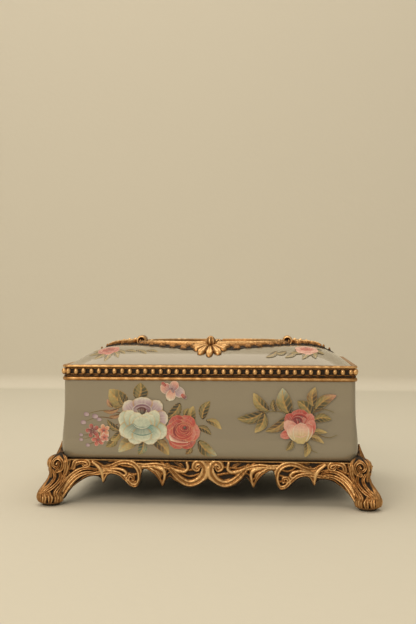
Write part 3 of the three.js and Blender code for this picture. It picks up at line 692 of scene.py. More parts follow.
def apron_surface(long, seed):
    """An apron in the plane of its face, along X and facing -Y, as one closed skin. From its top to its
    carved lower edge its depth is the height of its strokes, over a ground of flowing strands that is
    pitted by the mould. It rounds over at the lower edge, comes up a flat back, and flares out towards the
    feet."""
    edge = np.array(LONG_EDGE if long else SHORT_EDGE, float)
    end = edge[-1, 0]
    lower = smooth(edge, 6)
    a = np.linspace(-end, end, int(end * 5.6))[None, :]
    low = np.interp(np.abs(a), lower[:, 0], lower[:, 1])
    v = np.linspace(0, 1, 62)[:, None]
    z = STAND_TOP - v * (STAND_TOP - low)
    strokes = middle_strokes() + (outer_strokes() if long else short_strokes())
    strokes = both_sides(strokes) + [([(-end, 32.1), (0, 32.1), (end, 32.1)], (0.75,) * 3, (2.0,) * 3, 0)]
    height = carve(a + 0 * z, z, strokes, 1.32)
    sway = casting_noise(a + 0 * z, z, 26.0, seed)
    strands = np.clip(np.sin((v * 4.2 + 0.75 * sway) * math.tau), 0, 1) ** 0.7
    strands = strands * np.clip((STAND_TOP - 1.5 - z) / 3, 0, 1)
    height = np.maximum(height, 1.25 * strands) + 0.16 * casting_noise(a + 0 * z, z, 3.4, seed) + 0.15
    rounding = np.sqrt(np.clip((z - low) / 1.1, 0, 1))
    height = np.clip(height, 0, RELIEF) * (0.25 + 0.75 * rounding)
    tone = np.clip(height / (0.82 * RELIEF), 0, 1)
    flare = np.clip((np.abs(a) - (end - 15)) / 15, 0, 1) ** 1.8
    out = GROUND_OUT + height + flare * (3.5 + 5.5 * np.clip((STAND_TOP - z) / STAND_TOP, 0, 1))
    back = np.array([0.3, BACK_OUT + 0.5, BACK_OUT, BACK_OUT, BACK_OUT])[:, None] + 0 * a
    rise = np.array([-0.35, -0.3, 0.2, 0.5, 1.0])[:, None]
    back_z = np.where(rise < 0.5, low + rise, low + (STAND_TOP - low) * rise)
    out, z = np.concatenate([out, back]), np.concatenate([z, back_z])
    tone = np.concatenate([tone, np.full(back.shape, 0.12)])
    points = np.stack([a + 0 * z, -out, z], 2)
    skin = surface(points, tone[..., None], round_rows=True)
    return joined([skin, cap(points[:, 0], True), cap(points[:, -1], False)])


def cap(ring, flip):
    """A flat end for a ring of points: a fan of narrow quads in to its middle."""
    points = np.stack([ring, np.broadcast_to(ring.mean(0), ring.shape)])
    return surface(points, 0.1, round_cols=True, flip=flip)


# A leg's rounds, from the toe up: (z, how far its middle stands out from the corner, radius)
LEG_ROUNDS = [
    (0.9, 6.6, 8.2), (3, 7.1, 9.6), (6, 7.3, 10.0), (9.5, 6.9, 9.8), (13, 5.2, 9.3), (17, 2.9, 8.9),
    (21, 1.6, 8.7), (25, 1.4, 9.0), (29, 1.7, 9.3), (32.5, 1.6, 8.6), (35.2, 1.3, 6.3), (37, 1.1, 2.6),
]  # fmt: skip


def leg_strokes():
    """A leg's carving over (s, z), where s is the way round it from its outer edge, for one half: a fluted
    volute at the knee, a strap beside it that climbs the corner, strands that run down the shin, and a toe
    of curled leaves."""
    curls = [[(3.4 + 4.4 * k, 10.4 - 0.5 * k), (5 + 4.5 * k, 6.4), (4 + 4.6 * k, 2.2)] for k in range(5)]
    return [(curl, (1.1, 2.2, 1.5), (2.2, 3.1, 2.5), 1) for curl in curls] + [
        (spiral((6.8, 30), 5.4, 1.5, 1.45, -95, 1, 14), (1.9, 1.5, 0.9), (2.6, 2.9, 2.5), 1),
        ([(6.8, 29.9), (6.9, 30)], (1.0,) * 3, (2.8,) * 3, 0),
        ([(0, 37), (0, 31), (0, 25), (0.6, 20)], (1.2, 1.5, 0.8), (1.8, 2.5, 1.5), 0),
        ([(14.6, 38), (14.8, 33), (14.2, 26), (12.4, 20), (13, 15)], (1.7, 2.1, 1.2), (2.4, 2.9, 1.8), 1),
        ([(2.4, 24.6), (4.8, 20.4), (3.8, 15), (0.9, 10), (1, 5), (0.6, 1.6)], (1.4, 2.1, 1.4),
         (2.0, 2.7, 2.4), 1),
        ([(8.6, 24.4), (10, 19.6), (8.4, 14.2), (5.2, 10.4), (7, 7.4)], (1.4, 2.1, 1.0), (2.1, 2.8, 2.4), 1),
        ([(13.6, 21), (14.2, 16), (12.4, 11.4), (13.6, 7.2), (15.6, 3)], (1.5, 2.1, 1.2), (2.0, 2.8, 2.2), 1),
        ([(19.6, 22), (19, 16), (17, 10), (18.4, 4)], (1.7, 2.1, 1.5), (2.0, 2.5, 2.0), 1),
        ([(25, 18), (24, 11), (24, 4)], (1.8, 2.0, 1.6), (1.8, 2.2, 1.8), 1),
        ([(0, 1.4), (9, 1.5), (18, 1.6), (26, 1.6)], (1.1, 1.1, 1.0), (1.8, 1.9, 1.6), 0),
    ]  # fmt: skip


def leg_surface(seed):
    """The leg at (+X, -Y). Each round stands about a centre on the corner's diagonal, and its carving lifts
    it outwards. Where the box stands inside a round, the leg stays below the box's underside."""
    table = smooth(LEG_ROUNDS, 10)
    z = np.linspace(0.9, 37, 118)
    out = np.interp(z, table[:, 0], table[:, 1])[:, None]
    radius = np.interp(z, table[:, 0], table[:, 2])[:, None]
    turn = np.linspace(-math.pi, math.pi, 168, endpoint=False)[None, :]
    s, height_z = turn * 9.0 + 0 * z[:, None], z[:, None] + 0 * turn
    height = carve(s, height_z, both_sides(leg_strokes()), 1.08)
    height = height + 0.14 * casting_noise(s, height_z, 3.0, seed)
    fade = np.clip((37.6 - z[:, None]) / 3.5, 0.1, 1) * np.clip((z[:, None] - 0.4) / 2.2, 0.2, 1)
    wide = (radius - 2.5) + np.clip(height, 0, 3.1) * fade
    corner = np.array([HALF[0] + 0.6, -HALF[1] - 0.6])
    x = corner[0] + out + wide * np.cos(turn - math.pi / 4)
    y = corner[1] - out + wide * np.sin(turn - math.pi / 4)
    inside = (x < HALF[0] + BULGE + 0.25) & (y > -HALF[1] - BULGE - 0.25)
    level = np.where(inside, np.minimum(height_z, STAND_TOP - 0.05), height_z)
    points = np.stack([x, y, level], 2)
    tone = np.clip(height * fade / 2.6, 0, 1)
    skin = surface(points, tone[..., None], round_cols=True)
    return joined([skin, cap(points[0], True), cap(points[-1], False)])


def crest_leaf():
    """A leaf that rises from the end of the leg at (+X, -Y) and lies against the end of the box. Its
    outline is a pointed arch, and its ribs fan out from its foot."""
    v, u = np.linspace(0, 1, 30)[:, None], np.linspace(-1, 1, 22)[None, :]
    half = 4.6 * np.sin(math.pi * (0.16 + 0.84 * v)) ** 0.7 * (1 + 0.1 * np.sin(v * 26))
    rib = np.cos(u * math.pi * 2.5) ** 2 * (1 - 0.5 * v)
    y = -HALF[1] + 6.5 + u * half + 1.5 * v**2
    z = 30.5 + 13.6 * v - 1.6 * u**2
    out = BULGE + 0.3 + (5.6 * (1 - v) ** 1.3 + 0.9) * (1 - 0.5 * u**2) + 0.8 * rib
    front = np.stack([HALF[0] + out, y, z], 2)
    rear = np.stack([HALF[0] + BULGE - 0.6 + 0 * out, y, z], 2)
    return slab(front, rear, np.clip(0.35 + 0.6 * rib, 0, 1) + 0 * v)


def slab(front, rear, tone):
    """Two grids of the same size as one closed skin: the front, the rear, and a strip between their edges."""

    def border(grid):
        """The points round a grid's edge, in order."""
        return np.concatenate([grid[0, :-1], grid[:-1, -1], grid[-1, :0:-1], grid[:0:-1, 0]])

    strip = surface(np.stack([border(rear), border(front)]), 0.3, round_cols=True)
    return joined([surface(front, tone[..., None]), surface(rear, 0.1, flip=True), strip])


# The cartouche on the lid

# Half of the front rail in plan, from its middle out: (x, y)
RAIL_INNER = [(0, -34), (16, -33.4), (30, -29.5), (41, -22.5), (48, -14.5), (51.5, -7)]
RAIL_OUTER = [
    (0, -47), (10, -48.5), (20, -46.5), (28, -43), (37, -40.5), (46, -35.5), (54, -27), (59, -17), (62, -8),
]


def evenly(points, count):
    """A smooth curve cut into a number of even steps."""
    line = smooth(points, 12)
    way = np.concatenate([[0], np.cumsum(np.hypot(*np.diff(line, axis=0).T))])
    at = np.linspace(0, way[-1], count)
    return np.stack([np.interp(at, way, line[:, 0]), np.interp(at, way, line[:, 1])], 1)


def relief_sheet(plan, height, full, tone=None):
    """A relief that lies on the lid's dome: a grid of plan points raised by a height, closed underneath. Its
    edge comes down into the glaze."""
    rows, cols = np.indices(plan.shape[:2])
    border = np.minimum.reduce([rows, cols, plan.shape[0] - 1 - rows, plan.shape[1] - 1 - cols])
    height = np.where(border == 0, -0.4, height * np.clip(border / 3, 0, 1) ** 0.5)
    ground = dome(plan[..., 0], plan[..., 1])
    top = np.concatenate([plan, (ground + height)[..., None]], 2)
    under = np.concatenate([plan, (ground - 0.5)[..., None]], 2)
    return slab(top, under, np.clip(height / full if tone is None else tone * (border > 0), 0, 1))


def rail_strokes():
    """The rail's carving in plan, for one half: a grooved S-scroll out to the volute, a slim scroll inside
    it, and leaves that hang over its outer edge, each with a groove."""
    leaves = [
        ([(54, -19), (57, -22), (59.5, -21)], 2.4), ([(50, -27), (54, -31), (54.4, -28)], 2.4),
        ([(43, -31), (47.5, -36.6), (46, -38)], 2.5), ([(34, -35), (38, -41), (36, -42.4)], 2.6),
        ([(26, -37.6), (29, -43.6), (26.5, -45.4)], 2.5), ([(17, -39.6), (20.4, -46), (17.6, -48)], 2.6),
    ]  # fmt: skip
    return [
        ([(58, -7), (55.6, -17), (49, -26), (38.6, -32.6), (26, -36.6), (14, -38.6), (7, -38)],
         (2.4, 3.2, 1.8), (4.4, 4.8, 4.2), 2),
        ([(52.5, -8), (48.6, -15), (41, -24), (30.5, -30.8), (17, -34.6), (5, -35.4)], (1.2, 1.5, 1.3),
         (4.6,) * 3, 0),
        ([(4, -36), (9, -37), (13.4, -41), (12, -45.4), (8.2, -45), (8.6, -41.8)], (1.2, 1.7, 1.0),
         (4.6, 4.9, 4.4), 1),
    ] + [(line, (1.5, wide, 0.8), (4.0, 3.9, 2.0), 1) for line, wide in leaves]  # fmt: skip


def rail_surface(seed):
    """The whole front rail: two halves that mirror each other, with a scalloped outer edge."""
    inner, outer = evenly(RAIL_INNER, 110), evenly(RAIL_OUTER, 110)
    inner = np.concatenate([inner[:0:-1] * [-1, 1], inner])[:, None]
    outer = np.concatenate([outer[:0:-1] * [-1, 1], outer])[:, None]
    v = np.linspace(0, 1, 34)[None, :, None]
    share = np.abs(np.linspace(-1, 1, len(inner)))[:, None, None]
    scallop = 1 + 0.09 * np.abs(np.sin(share * math.pi * 6)) * v
    plan = (inner + (outer - inner) * v * scallop)[:, ::-1]
    x, y = plan[..., 0], plan[..., 1]
    height = carve(x, y, both_sides(rail_strokes())) + 0.25 * casting_noise(x, y, 4.0, seed)
    return relief_sheet(plan, 0.5 + 0.64 * height, 3.4)


def acanthus_surface(tall):
    """The leaf over a rail's middle: seven lobes round its root, each hollowed on both sides of its rib, with
    curled tips; and above it a ribbed boss like a bud, of a given height."""
    spread = 1.9  # radians to either side
    turn, far = np.linspace(-spread, spread, 96)[:, None], np.linspace(0.03, 1, 26)[None, :]
    lobe = np.abs(np.cos(turn * 3.5 * math.pi / spread)) ** 0.6
    reach = (15.4 - 2.6 * (turn / spread) ** 2) * (0.66 + 0.34 * lobe) + 1.2 * np.cos(turn * 9) * far**3 * 0.4
    plan = np.stack([far * reach * np.sin(turn), -42.5 - far * reach * np.cos(turn)], 2)
    rib = np.cos(turn * 3.5 * math.pi / spread) ** 12
    hollow = 0.9 + 2.6 * np.sin(math.pi * (0.15 + 0.75 * far))
    height = hollow * (0.3 + 0.7 * lobe) + 1.5 * far**5 - 0.5 * rib
    leaf = relief_sheet(plan, height, 3.6, 1.15 * lobe - 0.35 * rib - 0.15 + 0.2 * far)
    up, around = np.linspace(0, 1, 22)[:, None], np.linspace(0, math.tau, 54, endpoint=False)[None, :]
    girth = 3.7 * np.sin(math.pi * (0.12 + 0.88 * up)) ** 0.6 * (1 + 0.08 * np.cos(around * 7))
    base = dome(0, -40.0) + 0.5
    rise = base + tall * up + 0 * around
    bud = np.stack([girth * np.cos(around), -40 + 0.8 * girth * np.sin(around), rise], 2)
    tone = np.clip(0.68 + 0.32 * np.cos(around * 7) + 0 * up, 0, 1)
    return joined([leaf, surface(bud, tone[..., None], round_cols=True), cap(bud[0], True)])


def volute_surface():
    """The scroll at the right end of the cartouche: a thick strap that rolls up over one and a half turns,
    seen from the front, with a raised lip along each side of it."""
    t = np.linspace(0, 1, 72)[:, None]
    angle = math.radians(-130) + t * math.tau * 1.45
    radius = 4.4 - 3.1 * t**0.8
    around = np.linspace(0, math.tau, 20, endpoint=False)[None, :]
    section = np.sign(np.cos(around)) * np.abs(np.cos(around)) ** 0.6
    deep = (7.6 - 2.4 * t) * section
    thick = (1.3 - 0.5 * t) * np.sin(around) * (1 + 0.3 * np.abs(section))
    x = 58 + (radius + thick) * np.cos(angle)
    z = dome(58.0, 0.0) + 1.9 + (radius + thick) * np.sin(angle)
    roll = np.stack([x, deep + 0 * t, z + 1.0], 2)
    tone = np.clip(0.5 + 0.5 * np.abs(section) + 0 * t, 0, 1) * (0.55 + 0.45 * (thick > 0))
    eye = egg(4.0, 4.0)
    eye = (eye[0] * [1, 3.0, 1] + [58, 0, dome(58.0, 0.0) + 2.9], eye[1], eye[2] * 0.25)
    skin = surface(roll, tone[..., None], round_cols=True, flip=True)
    return joined([skin, cap(roll[0], False), cap(roll[-1], True), eye])


def spray_surface(seed):
    """The leafy spray beyond the right scroll: it tapers outwards, with a stem of berries down its middle
    and pairs of leaves that lean out from it."""
    t, u = np.linspace(0, 1, 90)[:, None], np.linspace(-1, 1, 56)[None, :]
    x = 60 + 35.5 * t + 0 * u
    half = (12.5 * (1 - t) ** 0.8 + 0.8) * (1 + 0.14 * np.sin(t * math.tau * 4.5))
    plan = np.stack([x, u * half], 2)
    leaves = [([(62 + 6 * k, 0.6), (66.5 + 5.6 * k, 7.2 - 1.45 * k), (68.5 + 5.4 * k, 10.4 - 2.1 * k)],
               (1.3, 2.6 - 0.3 * k, 0.9), (3.8, 4.2 - 0.4 * k, 2.6), 1) for k in range(4)]  # fmt: skip
    berries = [([(64 + 4.6 * k, 0), (64.4 + 4.6 * k, 0)], (1.7 - 0.16 * k,) * 3, (4.6 - 0.4 * k,) * 3, 0)
               for k in range(7)]  # fmt: skip
    strokes = leaves + [(np.array(p) * [1, -1], w, h, g) for p, w, h, g in leaves] + berries
    height = carve(x, u * half, strokes) + 0.5 + 0.2 * casting_noise(x, u * half, 3.5, seed)
    return relief_sheet(plan, height, 3.6)


# Painting

ACROSS = np.array([-1, -0.88, -0.8, -0.62, -0.42, -0.2, -0.07, 0.07, 0.2, 0.42, 0.62, 0.8, 0.88, 1.0])
PAINTS = {
    "celadon": "#b9c6b4", "cream": "#dfe0cd", "mauve": "#8d7284", "lilac": "#b8a2ae", "crimson": "#a13a3a",
    "red": "#c0564a", "pink": "#d08f84", "blush": "#dfb8a6", "teal": "#6c958d", "olive": "#7d7444",
    "moss": "#494c30", "sage": "#7f9187", "dark": "#2f2f24", "brown": "#6e4c30", "gold": "#c39a55",
    "straw": "#c2b078", "wine": "#6a2430", "peach": "#d39c74",
}  # fmt: skip


def shade(names, amount):
    """Colours along a row of paints, from the first at 0 to the last at 1, as linear red, green and blue."""
    table = np.array([linear(PAINTS[name]) for name in names])
    at = np.linspace(0, 1, len(table))
    return np.stack([np.interp(amount, at, table[:, k]) for k in range(3)], -1)


def touched(colour, amount, paint):
    """A colour with another paint laid over it by an amount from 0 to 1."""
    return colour + (linear(PAINTS[paint]) - colour) * np.clip(amount, 0, 1)[..., None]


def leaf(base, tip, width, paints="moss olive straw", bend=0.12, teeth=0.0, outline="gold"):
    """A painted leaf: a pointed oval along a bent midrib. Its paints run from root to tip, one side of the
    midrib is lighter, slanting veins cross it, and a fine gold line runs round it."""
    base, tip = np.array(base, float), np.array(tip, float)
    t, u = np.linspace(0, 1, 25)[:, None], ACROSS[None, :]
    axis = tip - base
    side = np.array([-axis[1], axis[0]])
    half = width / 2 * np.sin(math.pi * t**0.85) ** 0.75 * (1 + teeth * np.abs(np.sin(t * 24)) * np.abs(u))
    plan = base + t[..., None] * axis + (bend * np.sin(math.pi * t))[..., None] * side
    plan = plan + (u * half)[..., None] * side / np.hypot(*axis)
    vein = np.clip(np.sin((t * 5 - np.abs(u) * 1.1) * math.tau), 0, 1) ** 3
    colour = touched(shade(paints.split(), t + 0 * u), 0.8 * (u < 0) * (1 - t) + 0.38 * (1 - t), "dark")
    colour = touched(colour, 0.28 * (u > 0) * (np.abs(u) < 0.7) + 0 * t, "straw")
    colour = touched(colour, 0.5 * vein + 0.55 * (np.abs(u) < 0.1), "gold")
    return plan, touched(colour, 0.55 * (np.abs(u) > 0.9) + 0 * t, outline)


def petal(centre, half_length, half_width, turn, paints, outline=None, frill=0.03):
    """A painted petal: an egg with a frilled rim about its centre, which its paints cross from heel to rim.
    It is streaked along its length, and its rim is edged with its last paint, lightened."""
    t, u = np.linspace(0, 1, 15)[:, None], ACROSS[None, :]
    half = half_width * np.sin(math.pi * (0.06 + 0.86 * t)) ** 0.42 * (0.72 + 0.34 * t)
    along = (2 * t - 1) * half_length * (1 + frill * np.sin(u * 7) * t) - 0.25 * half_length * u**2 * t
    c, s = math.cos(math.radians(turn)), math.sin(math.radians(turn))
    across = u * half
    plan = np.stack([centre[0] + along * c - across * s, centre[1] + along * s + across * c], 2)
    streak = np.clip(np.sin(u * 13 + 2 * np.sin(u * 5)), 0, 1) * np.sin(math.pi * t)
    heel = shade(paints.split(), t**1.9 + 0 * u)
    colour = touched(heel, 0.25 * streak, "cream")
    colour = touched(colour, 0.3 * np.abs(u) ** 6 * (1 - t), "wine")
    border = np.clip((np.abs(u) > 0.85) + (t > 0.93) * 1.0, 0, 1) * (t > 0.2)
    return plan, touched(colour, 0.5 * border, outline or "cream")


def fold(centre, radius, start, span, width, paints, outline="cream", squash=0.85):
    """A petal seen edge on: a crescent round a centre, from an angle over a span, both in degrees. Its
    paints cross it from its hollow side outwards, and its outer edge catches the light."""
    t, u = np.linspace(0, 1, 23)[:, None], ACROSS[None, :]
    turn = np.radians(start + span * t)
    far = radius + u * width * np.sin(math.pi * np.clip(t, 0.02, 0.98)) ** 0.7
    plan = np.stack([centre[0] + far * np.cos(turn), centre[1] + squash * far * np.sin(turn)], 2)
    colour = shade(paints.split(), (u + 1) / 2 + 0 * t)
    return plan, touched(colour, 0.75 * (u > 0.75) * np.sin(math.pi * t), outline)


def stem(points, width=0.7, paints="brown olive"):
    """A painted stem or tendril along a curve, thinner towards its end."""
    line = smooth(points)
    t, u = np.linspace(0, 1, len(line))[:, None], np.linspace(-1, 1, 4)[None, :]
    step = np.gradient(line, axis=0)
    side = np.stack([-step[:, 1], step[:, 0]], 1) / np.maximum(np.hypot(*step.T), 1e-6)[:, None]
    plan = line[:, None] + side[:, None] * (u * width / 2 * (1.2 - 0.7 * t))[..., None]
    return plan, shade(paints.split(), t + 0 * u)


def rose(centre, size, outer, folds, lean=80, edge="blush"):
    """A full-blown painted rose: two rings of broad petals, then rings of crescent folds that close in
    round a dark eye, which lies off the centre towards the lean."""
    c = np.array(centre, float)
    made = []
    for ring, (count, away, length, width) in enumerate(((6, 0.55, 0.46, 0.54), (5, 0.36, 0.42, 0.5))):
        for k in range(count):
            turn = lean + 180 + (k + 0.5 * ring) * 360 / count
            at = c + away * size * np.array([math.cos(math.radians(turn)), math.sin(math.radians(turn))])
            made.append(petal(at, length * size, width * size, turn, outer[(k + ring) % len(outer)], edge))
    way = np.array([math.cos(math.radians(lean)), math.sin(math.radians(lean))])
    for ring, far in enumerate((0.5, 0.4, 0.31, 0.22, 0.13)):
        eye = c + (0.08 + 0.05 * ring) * size * way
        for k in range(3):
            start = lean + 40 + 67 * ring + 120 * k
            made.append(fold(eye, far * size, start, 150, 0.1 * size, folds[(k + ring) % len(folds)], edge))
    return made + [petal(c + 0.3 * size * way, 0.09 * size, 0.08 * size, lean, "dark wine", "wine")]


def blossom(centre, size, paints, petals=5, turn=0, eye="wine brown"):
    """A small painted flower: even petals round an eye."""
    made = []
    for k in range(petals):
        at = turn + k * 360 / petals
        way = np.array([math.cos(math.radians(at)), math.sin(math.radians(at))])
        made.append(petal(np.array(centre) + 0.55 * size * way, 0.48 * size, 0.38 * size, at, paints))
    return made + [petal(centre, 0.2 * size, 0.2 * size, 0, eye)]


def left_bouquet():
    """The bouquet on the front's left: a great pale rose, a red rose, a bloom like a butterfly, a cluster,
    and leaves all round them."""
    made = [
        stem([(-64, 66), (-74, 68), (-84, 66.6), (-91, 64)]),
        stem([(-66, 58), (-74, 54), (-84, 49), (-93, 46.6)]),
        stem([(-70, 62), (-78, 63), (-84, 62), (-91.6, 59.1)]),
        stem([(-30.3, 75.2), (-28, 79), (-26, 83)]),
        stem([(-82, 51), (-88, 50), (-93, 50)]),
        stem([(-78, 45), (-84, 44.4), (-88, 42.6)]),
        leaf((-58.8, 72.3), (-72.6, 83.2), 12.5, "brown olive straw", 0.1, 0.12),
        leaf((-51.5, 75.9), (-49.3, 88.3), 10.5, "dark moss olive", -0.1, 0.1),
        leaf((-60, 71), (-65, 80), 5, "dark moss", 0.1),
        leaf((-65.3, 69.4), (-77, 67.2), 3.2, "pink brown"),
        leaf((-64.6, 65), (-72.6, 63.5), 3, "pink brown"),
        leaf((-69.7, 70.1), (-74, 76), 3.2, "brown pink"),
        leaf((-63.9, 53.3), (-74.1, 61.3), 5, "dark moss"),
        leaf((-66.8, 49.6), (-74.6, 41.3), 6.5, "moss olive"),
        leaf((-64.2, 52.6), (-71, 46), 5.5, "brown olive straw"),
        leaf((-51.5, 45.3), (-65.5, 37.7), 8.5, "moss straw celadon", -0.15, 0.1),
        leaf((-47, 46), (-50.6, 35.8), 7, "dark teal olive"),
        leaf((-41.2, 47.5), (-28.2, 35.8), 8.5, "moss brown straw"),
        leaf((-42, 49), (-34.6, 43), 4.5, "dark moss"),
        leaf((-20.1, 73.7), (-30.4, 62), 6.5, "moss dark", 0.1, 0.3),
        leaf((-11.3, 59.1), (-10.6, 71.6), 7.2, "moss olive straw"),
        leaf((-4, 62), (1.6, 75.4), 7.2, "dark moss olive"),
        leaf((-1.4, 61.6), (10, 55), 5.2, "olive straw"),
        leaf((-8, 56.5), (2.6, 51), 5, "dark moss"),
        leaf((-6.9, 46.7), (6.6, 35.8), 8.4, "moss olive celadon", -0.1, 0.1),
        leaf((-17, 64), (-14, 70), 4, "moss olive"),
        leaf((-12, 43), (-16, 36.6), 4.6, "moss brown"),
    ]
    berries = [
        ((-89.4, 65), 2), ((-91.6, 59.1), 2), ((-82.9, 63.5), 2.2), ((-79.9, 61.3), 1.8), ((-93, 46.6), 1.5),
        ((-93, 50), 1.4), ((-88, 42.6), 1.6),
    ]  # fmt: skip
    made += [petal(at, size, size * 0.85, 170, "lilac mauve", "mauve") for at, size in berries]
    cluster = [
        ((-80.4, 46.6), 4.8, "crimson red pink"),
        ((-76.2, 53.4), 4.6, "red peach blush"),
        ((-75.6, 48.4), 3.6, "red pink cream"),
        ((-84.6, 53.2), 5, "wine crimson red"),
    ]
    for at, size, paints in cluster:
        made += blossom(at, size, paints, 5, 20 + 3 * size)
    made += [
        petal((-30, 84), 5, 4.4, 150, "mauve pink blush"),
        petal((-21.4, 82), 5.2, 4.2, -35, "mauve lilac blush"),
        petal((-24.6, 86), 4, 3.8, 60, "mauve pink blush"),
        petal((-27, 79.4), 4.2, 4, 250, "pink blush cream"),
        petal((-32.2, 87.4), 2, 1.6, 140, "crimson red"),
        petal((-17.4, 78.6), 2.4, 1.9, -40, "red wine mauve"),
        petal((-25.8, 83), 2, 1.2, 120, "mauve wine"),
    ]
    outer = ["crimson red", "wine crimson red", "crimson red pink"]
    folds = ["wine crimson", "crimson red", "brown crimson red"]
    made += rose((-18.6, 52.8), 13, outer, folds, 60, "peach")
    made.append(fold((-18.4, 53), 9.4, 196, 100, 2.4, "crimson blush cream", "cream"))
    made.append(fold((-19, 54), 12, 225, 80, 1.5, "crimson red pink", "peach"))
    return made + pale_rose()


def pale_rose():
    """The great pale rose: mauve petals stand behind a dark hollow, cupped petals close in front of it, and
    open petals spread below them."""
    pale, cool, shy = "sage celadon cream", "teal celadon cream", "mauve lilac cream"
    back = [
        ((-56.6, 69.6), 6.4, 6.2, 128, shy),
        ((-38.6, 70), 6.4, 6, 50, shy),
        ((-47.6, 73), 5, 8.4, 90, shy),
        ((-34.4, 62.6), 5.6, 6.4, 8, shy),
        ((-60, 62), 5.6, 6.6, 172, pale),
        ((-58, 54.6), 7, 7, 212, cool),
        ((-36.4, 54), 7.2, 7, -34, cool),
        ((-52.6, 49.6), 6, 6.8, 254, pale),
        ((-42, 49.6), 6, 6.8, 284, cool),
    ]
    made = [petal(*one, "gold", 0.03) for one in back]
    made += [
        petal((-48, 67.6), 5.6, 8.2, 90, "wine mauve lilac", "cream", 0.02),
        fold((-48, 66.4), 7.2, 25, 130, 1.1, "wine mauve lilac"),
        petal((-48.2, 68.2), 3, 4.2, 90, "dark wine brown"),
        fold((-48.2, 66.6), 4.4, 30, 120, 0.8, "dark wine mauve", "lilac"),
    ]
    cups = [
        ((-55.6, 60.6), 8.4, 6, 110, cool),
        ((-40.6, 60.4), 8.6, 6, 70, cool),
        ((-51.6, 59), 8, 6.6, 98, pale),
        ((-44.4, 58.6), 8.2, 6.8, 82, pale),
        ((-48, 56.4), 8, 8.4, 90, "teal celadon celadon cream"),
    ]
    made += [petal(*one, "gold", 0.03) for one in cups]
    skirts = [
        ((-56.4, 53), 6, 5.4, 228, pale),
        ((-39.4, 52.4), 6, 5.4, 314, cool),
        ((-48, 51), 5.4, 8.4, 270, pale),
    ]
    made += [petal(*one, "gold", 0.03) for one in skirts]
    made.append(fold((-47.6, 60), 11.6, 222, 96, 0.8, "teal sage celadon"))
    made.append(fold((-48, 62), 7.6, 215, 110, 0.6, cool))
    return made


def right_bouquet():
    """The bouquet on the front's right: a rosebud between long pointed leaves."""
    made = [
        stem([(62, 66), (57, 68), (48, 68.4), (41, 67.6)]),
        stem([(73, 56), (80, 52), (87, 50), (93, 52)]),
        stem([(76.5, 68), (84, 70), (91, 68)]),
        stem([(41, 67.6), (34, 66), (27, 66)]),
        stem([(70, 48), (73, 42), (79, 39)]),
        leaf((44.2, 68.6), (33.2, 81.5), 7.4, "moss olive straw", 0.1, 0.1),
        leaf((40.5, 67.9), (21.3, 62.9), 7.4, "dark moss olive"),
        leaf((41.2, 67.2), (34.1, 53), 7.2, "moss olive straw"),
        leaf((58, 65), (41.7, 54), 6.6, "moss brown olive"),
        leaf((58.8, 66.4), (54, 85.2), 10.4, "moss olive celadon", 0.08, 0.1),
        leaf((49, 68), (47.6, 77), 4.6, "dark moss"),
        leaf((75.5, 63.5), (64.8, 76.1), 9, "dark moss olive", -0.1, 0.1),
        leaf((76.3, 71.5), (77.4, 86), 7.2, "olive brown straw"),
        leaf((77, 69.4), (92.4, 80.3), 7.4, "moss olive pink", 0.1),
        leaf((75.5, 62), (89, 63.1), 6.2, "moss olive"),
        leaf((72, 52), (86, 53.6), 4, "moss straw"),
        leaf((71, 50.6), (83.6, 46), 4.2, "brown straw"),
        leaf((71.2, 46.7), (70.2, 35.8), 5, "olive straw"),
        leaf((61, 48), (56.6, 40.6), 4.4, "moss olive"),
    ]
    bud = [
        ((66.4, 65), 5, 7, 90, "wine crimson red"),
        ((60.4, 61.6), 6, 4.8, 122, "wine crimson red"),
        ((72, 61.6), 6, 4.8, 56, "crimson red pink"),
        ((57.8, 52.4), 5.6, 3.6, 200, "crimson red pink"),
        ((61, 56), 7.6, 5, 136, "red pink blush"),
        ((73, 55.6), 7.4, 4.6, 66, "crimson red pink"),
    ]
    made += [petal(*one, "pink", 0.03) for one in bud]
    made.append(fold((66.2, 61.6), 5.6, 20, 150, 1.4, "wine crimson red", "pink"))
    made.append(fold((64.6, 61.4), 3.4, 330, 200, 1.1, "wine crimson", "blush"))
    made.append(fold((67.8, 61), 2.6, 150, 200, 0.9, "wine crimson red", "pink"))
    wrap = [
        ((62.2, 53), 6.4, 4.8, 118, "straw blush pink"),
        ((71.4, 53.8), 6.8, 4.6, 74, "straw pink red"),
        ((67.2, 53), 7.4, 6.6, 86, "straw blush pink"),
    ]
    made += [petal(*one, "cream", 0.03) for one in wrap]
    return made + [fold((66.6, 56), 6.4, 228, 92, 0.7, "straw blush pink", "cream")]


def posy(x, z, size, hand):
    """A rose with its leaves and two small flowers, for the faces that are seen less. Its leaves fan out:
    (turn in degrees, length, width), in sizes of the rose."""
    fan = [
        (150, 1.9, 0.62), (185, 2.1, 0.55), (215, 1.9, 0.5), (20, 1.9, 0.55), (-25, 2.0, 0.55),
        (75, 1.7, 0.5), (110, 1.6, 0.5),
    ]  # fmt: skip
    made = []
    for k, (turn, far, wide) in enumerate(fan):
        way = np.array([hand * math.cos(math.radians(turn)), math.sin(math.radians(turn))])
        paints = ("moss olive straw", "dark moss olive", "moss brown straw")[k % 3]
        root, tip = (x, z) + 0.6 * size * way, (x, z) + far * size * way
        made.append(leaf(root, tip, wide * size, paints, 0.12 * hand, 0.1))
    made += blossom((x - 2.3 * hand * size, z + 0.5 * size), 0.55 * size, "wine pink lilac", 5, 20)
    made += blossom((x + 2.2 * hand * size, z - 0.35 * size), 0.5 * size, "crimson pink blush", 5, 50)
    return made + rose((x, z), size, ["red pink blush", "crimson red pink"], ["wine crimson", "crimson red"])


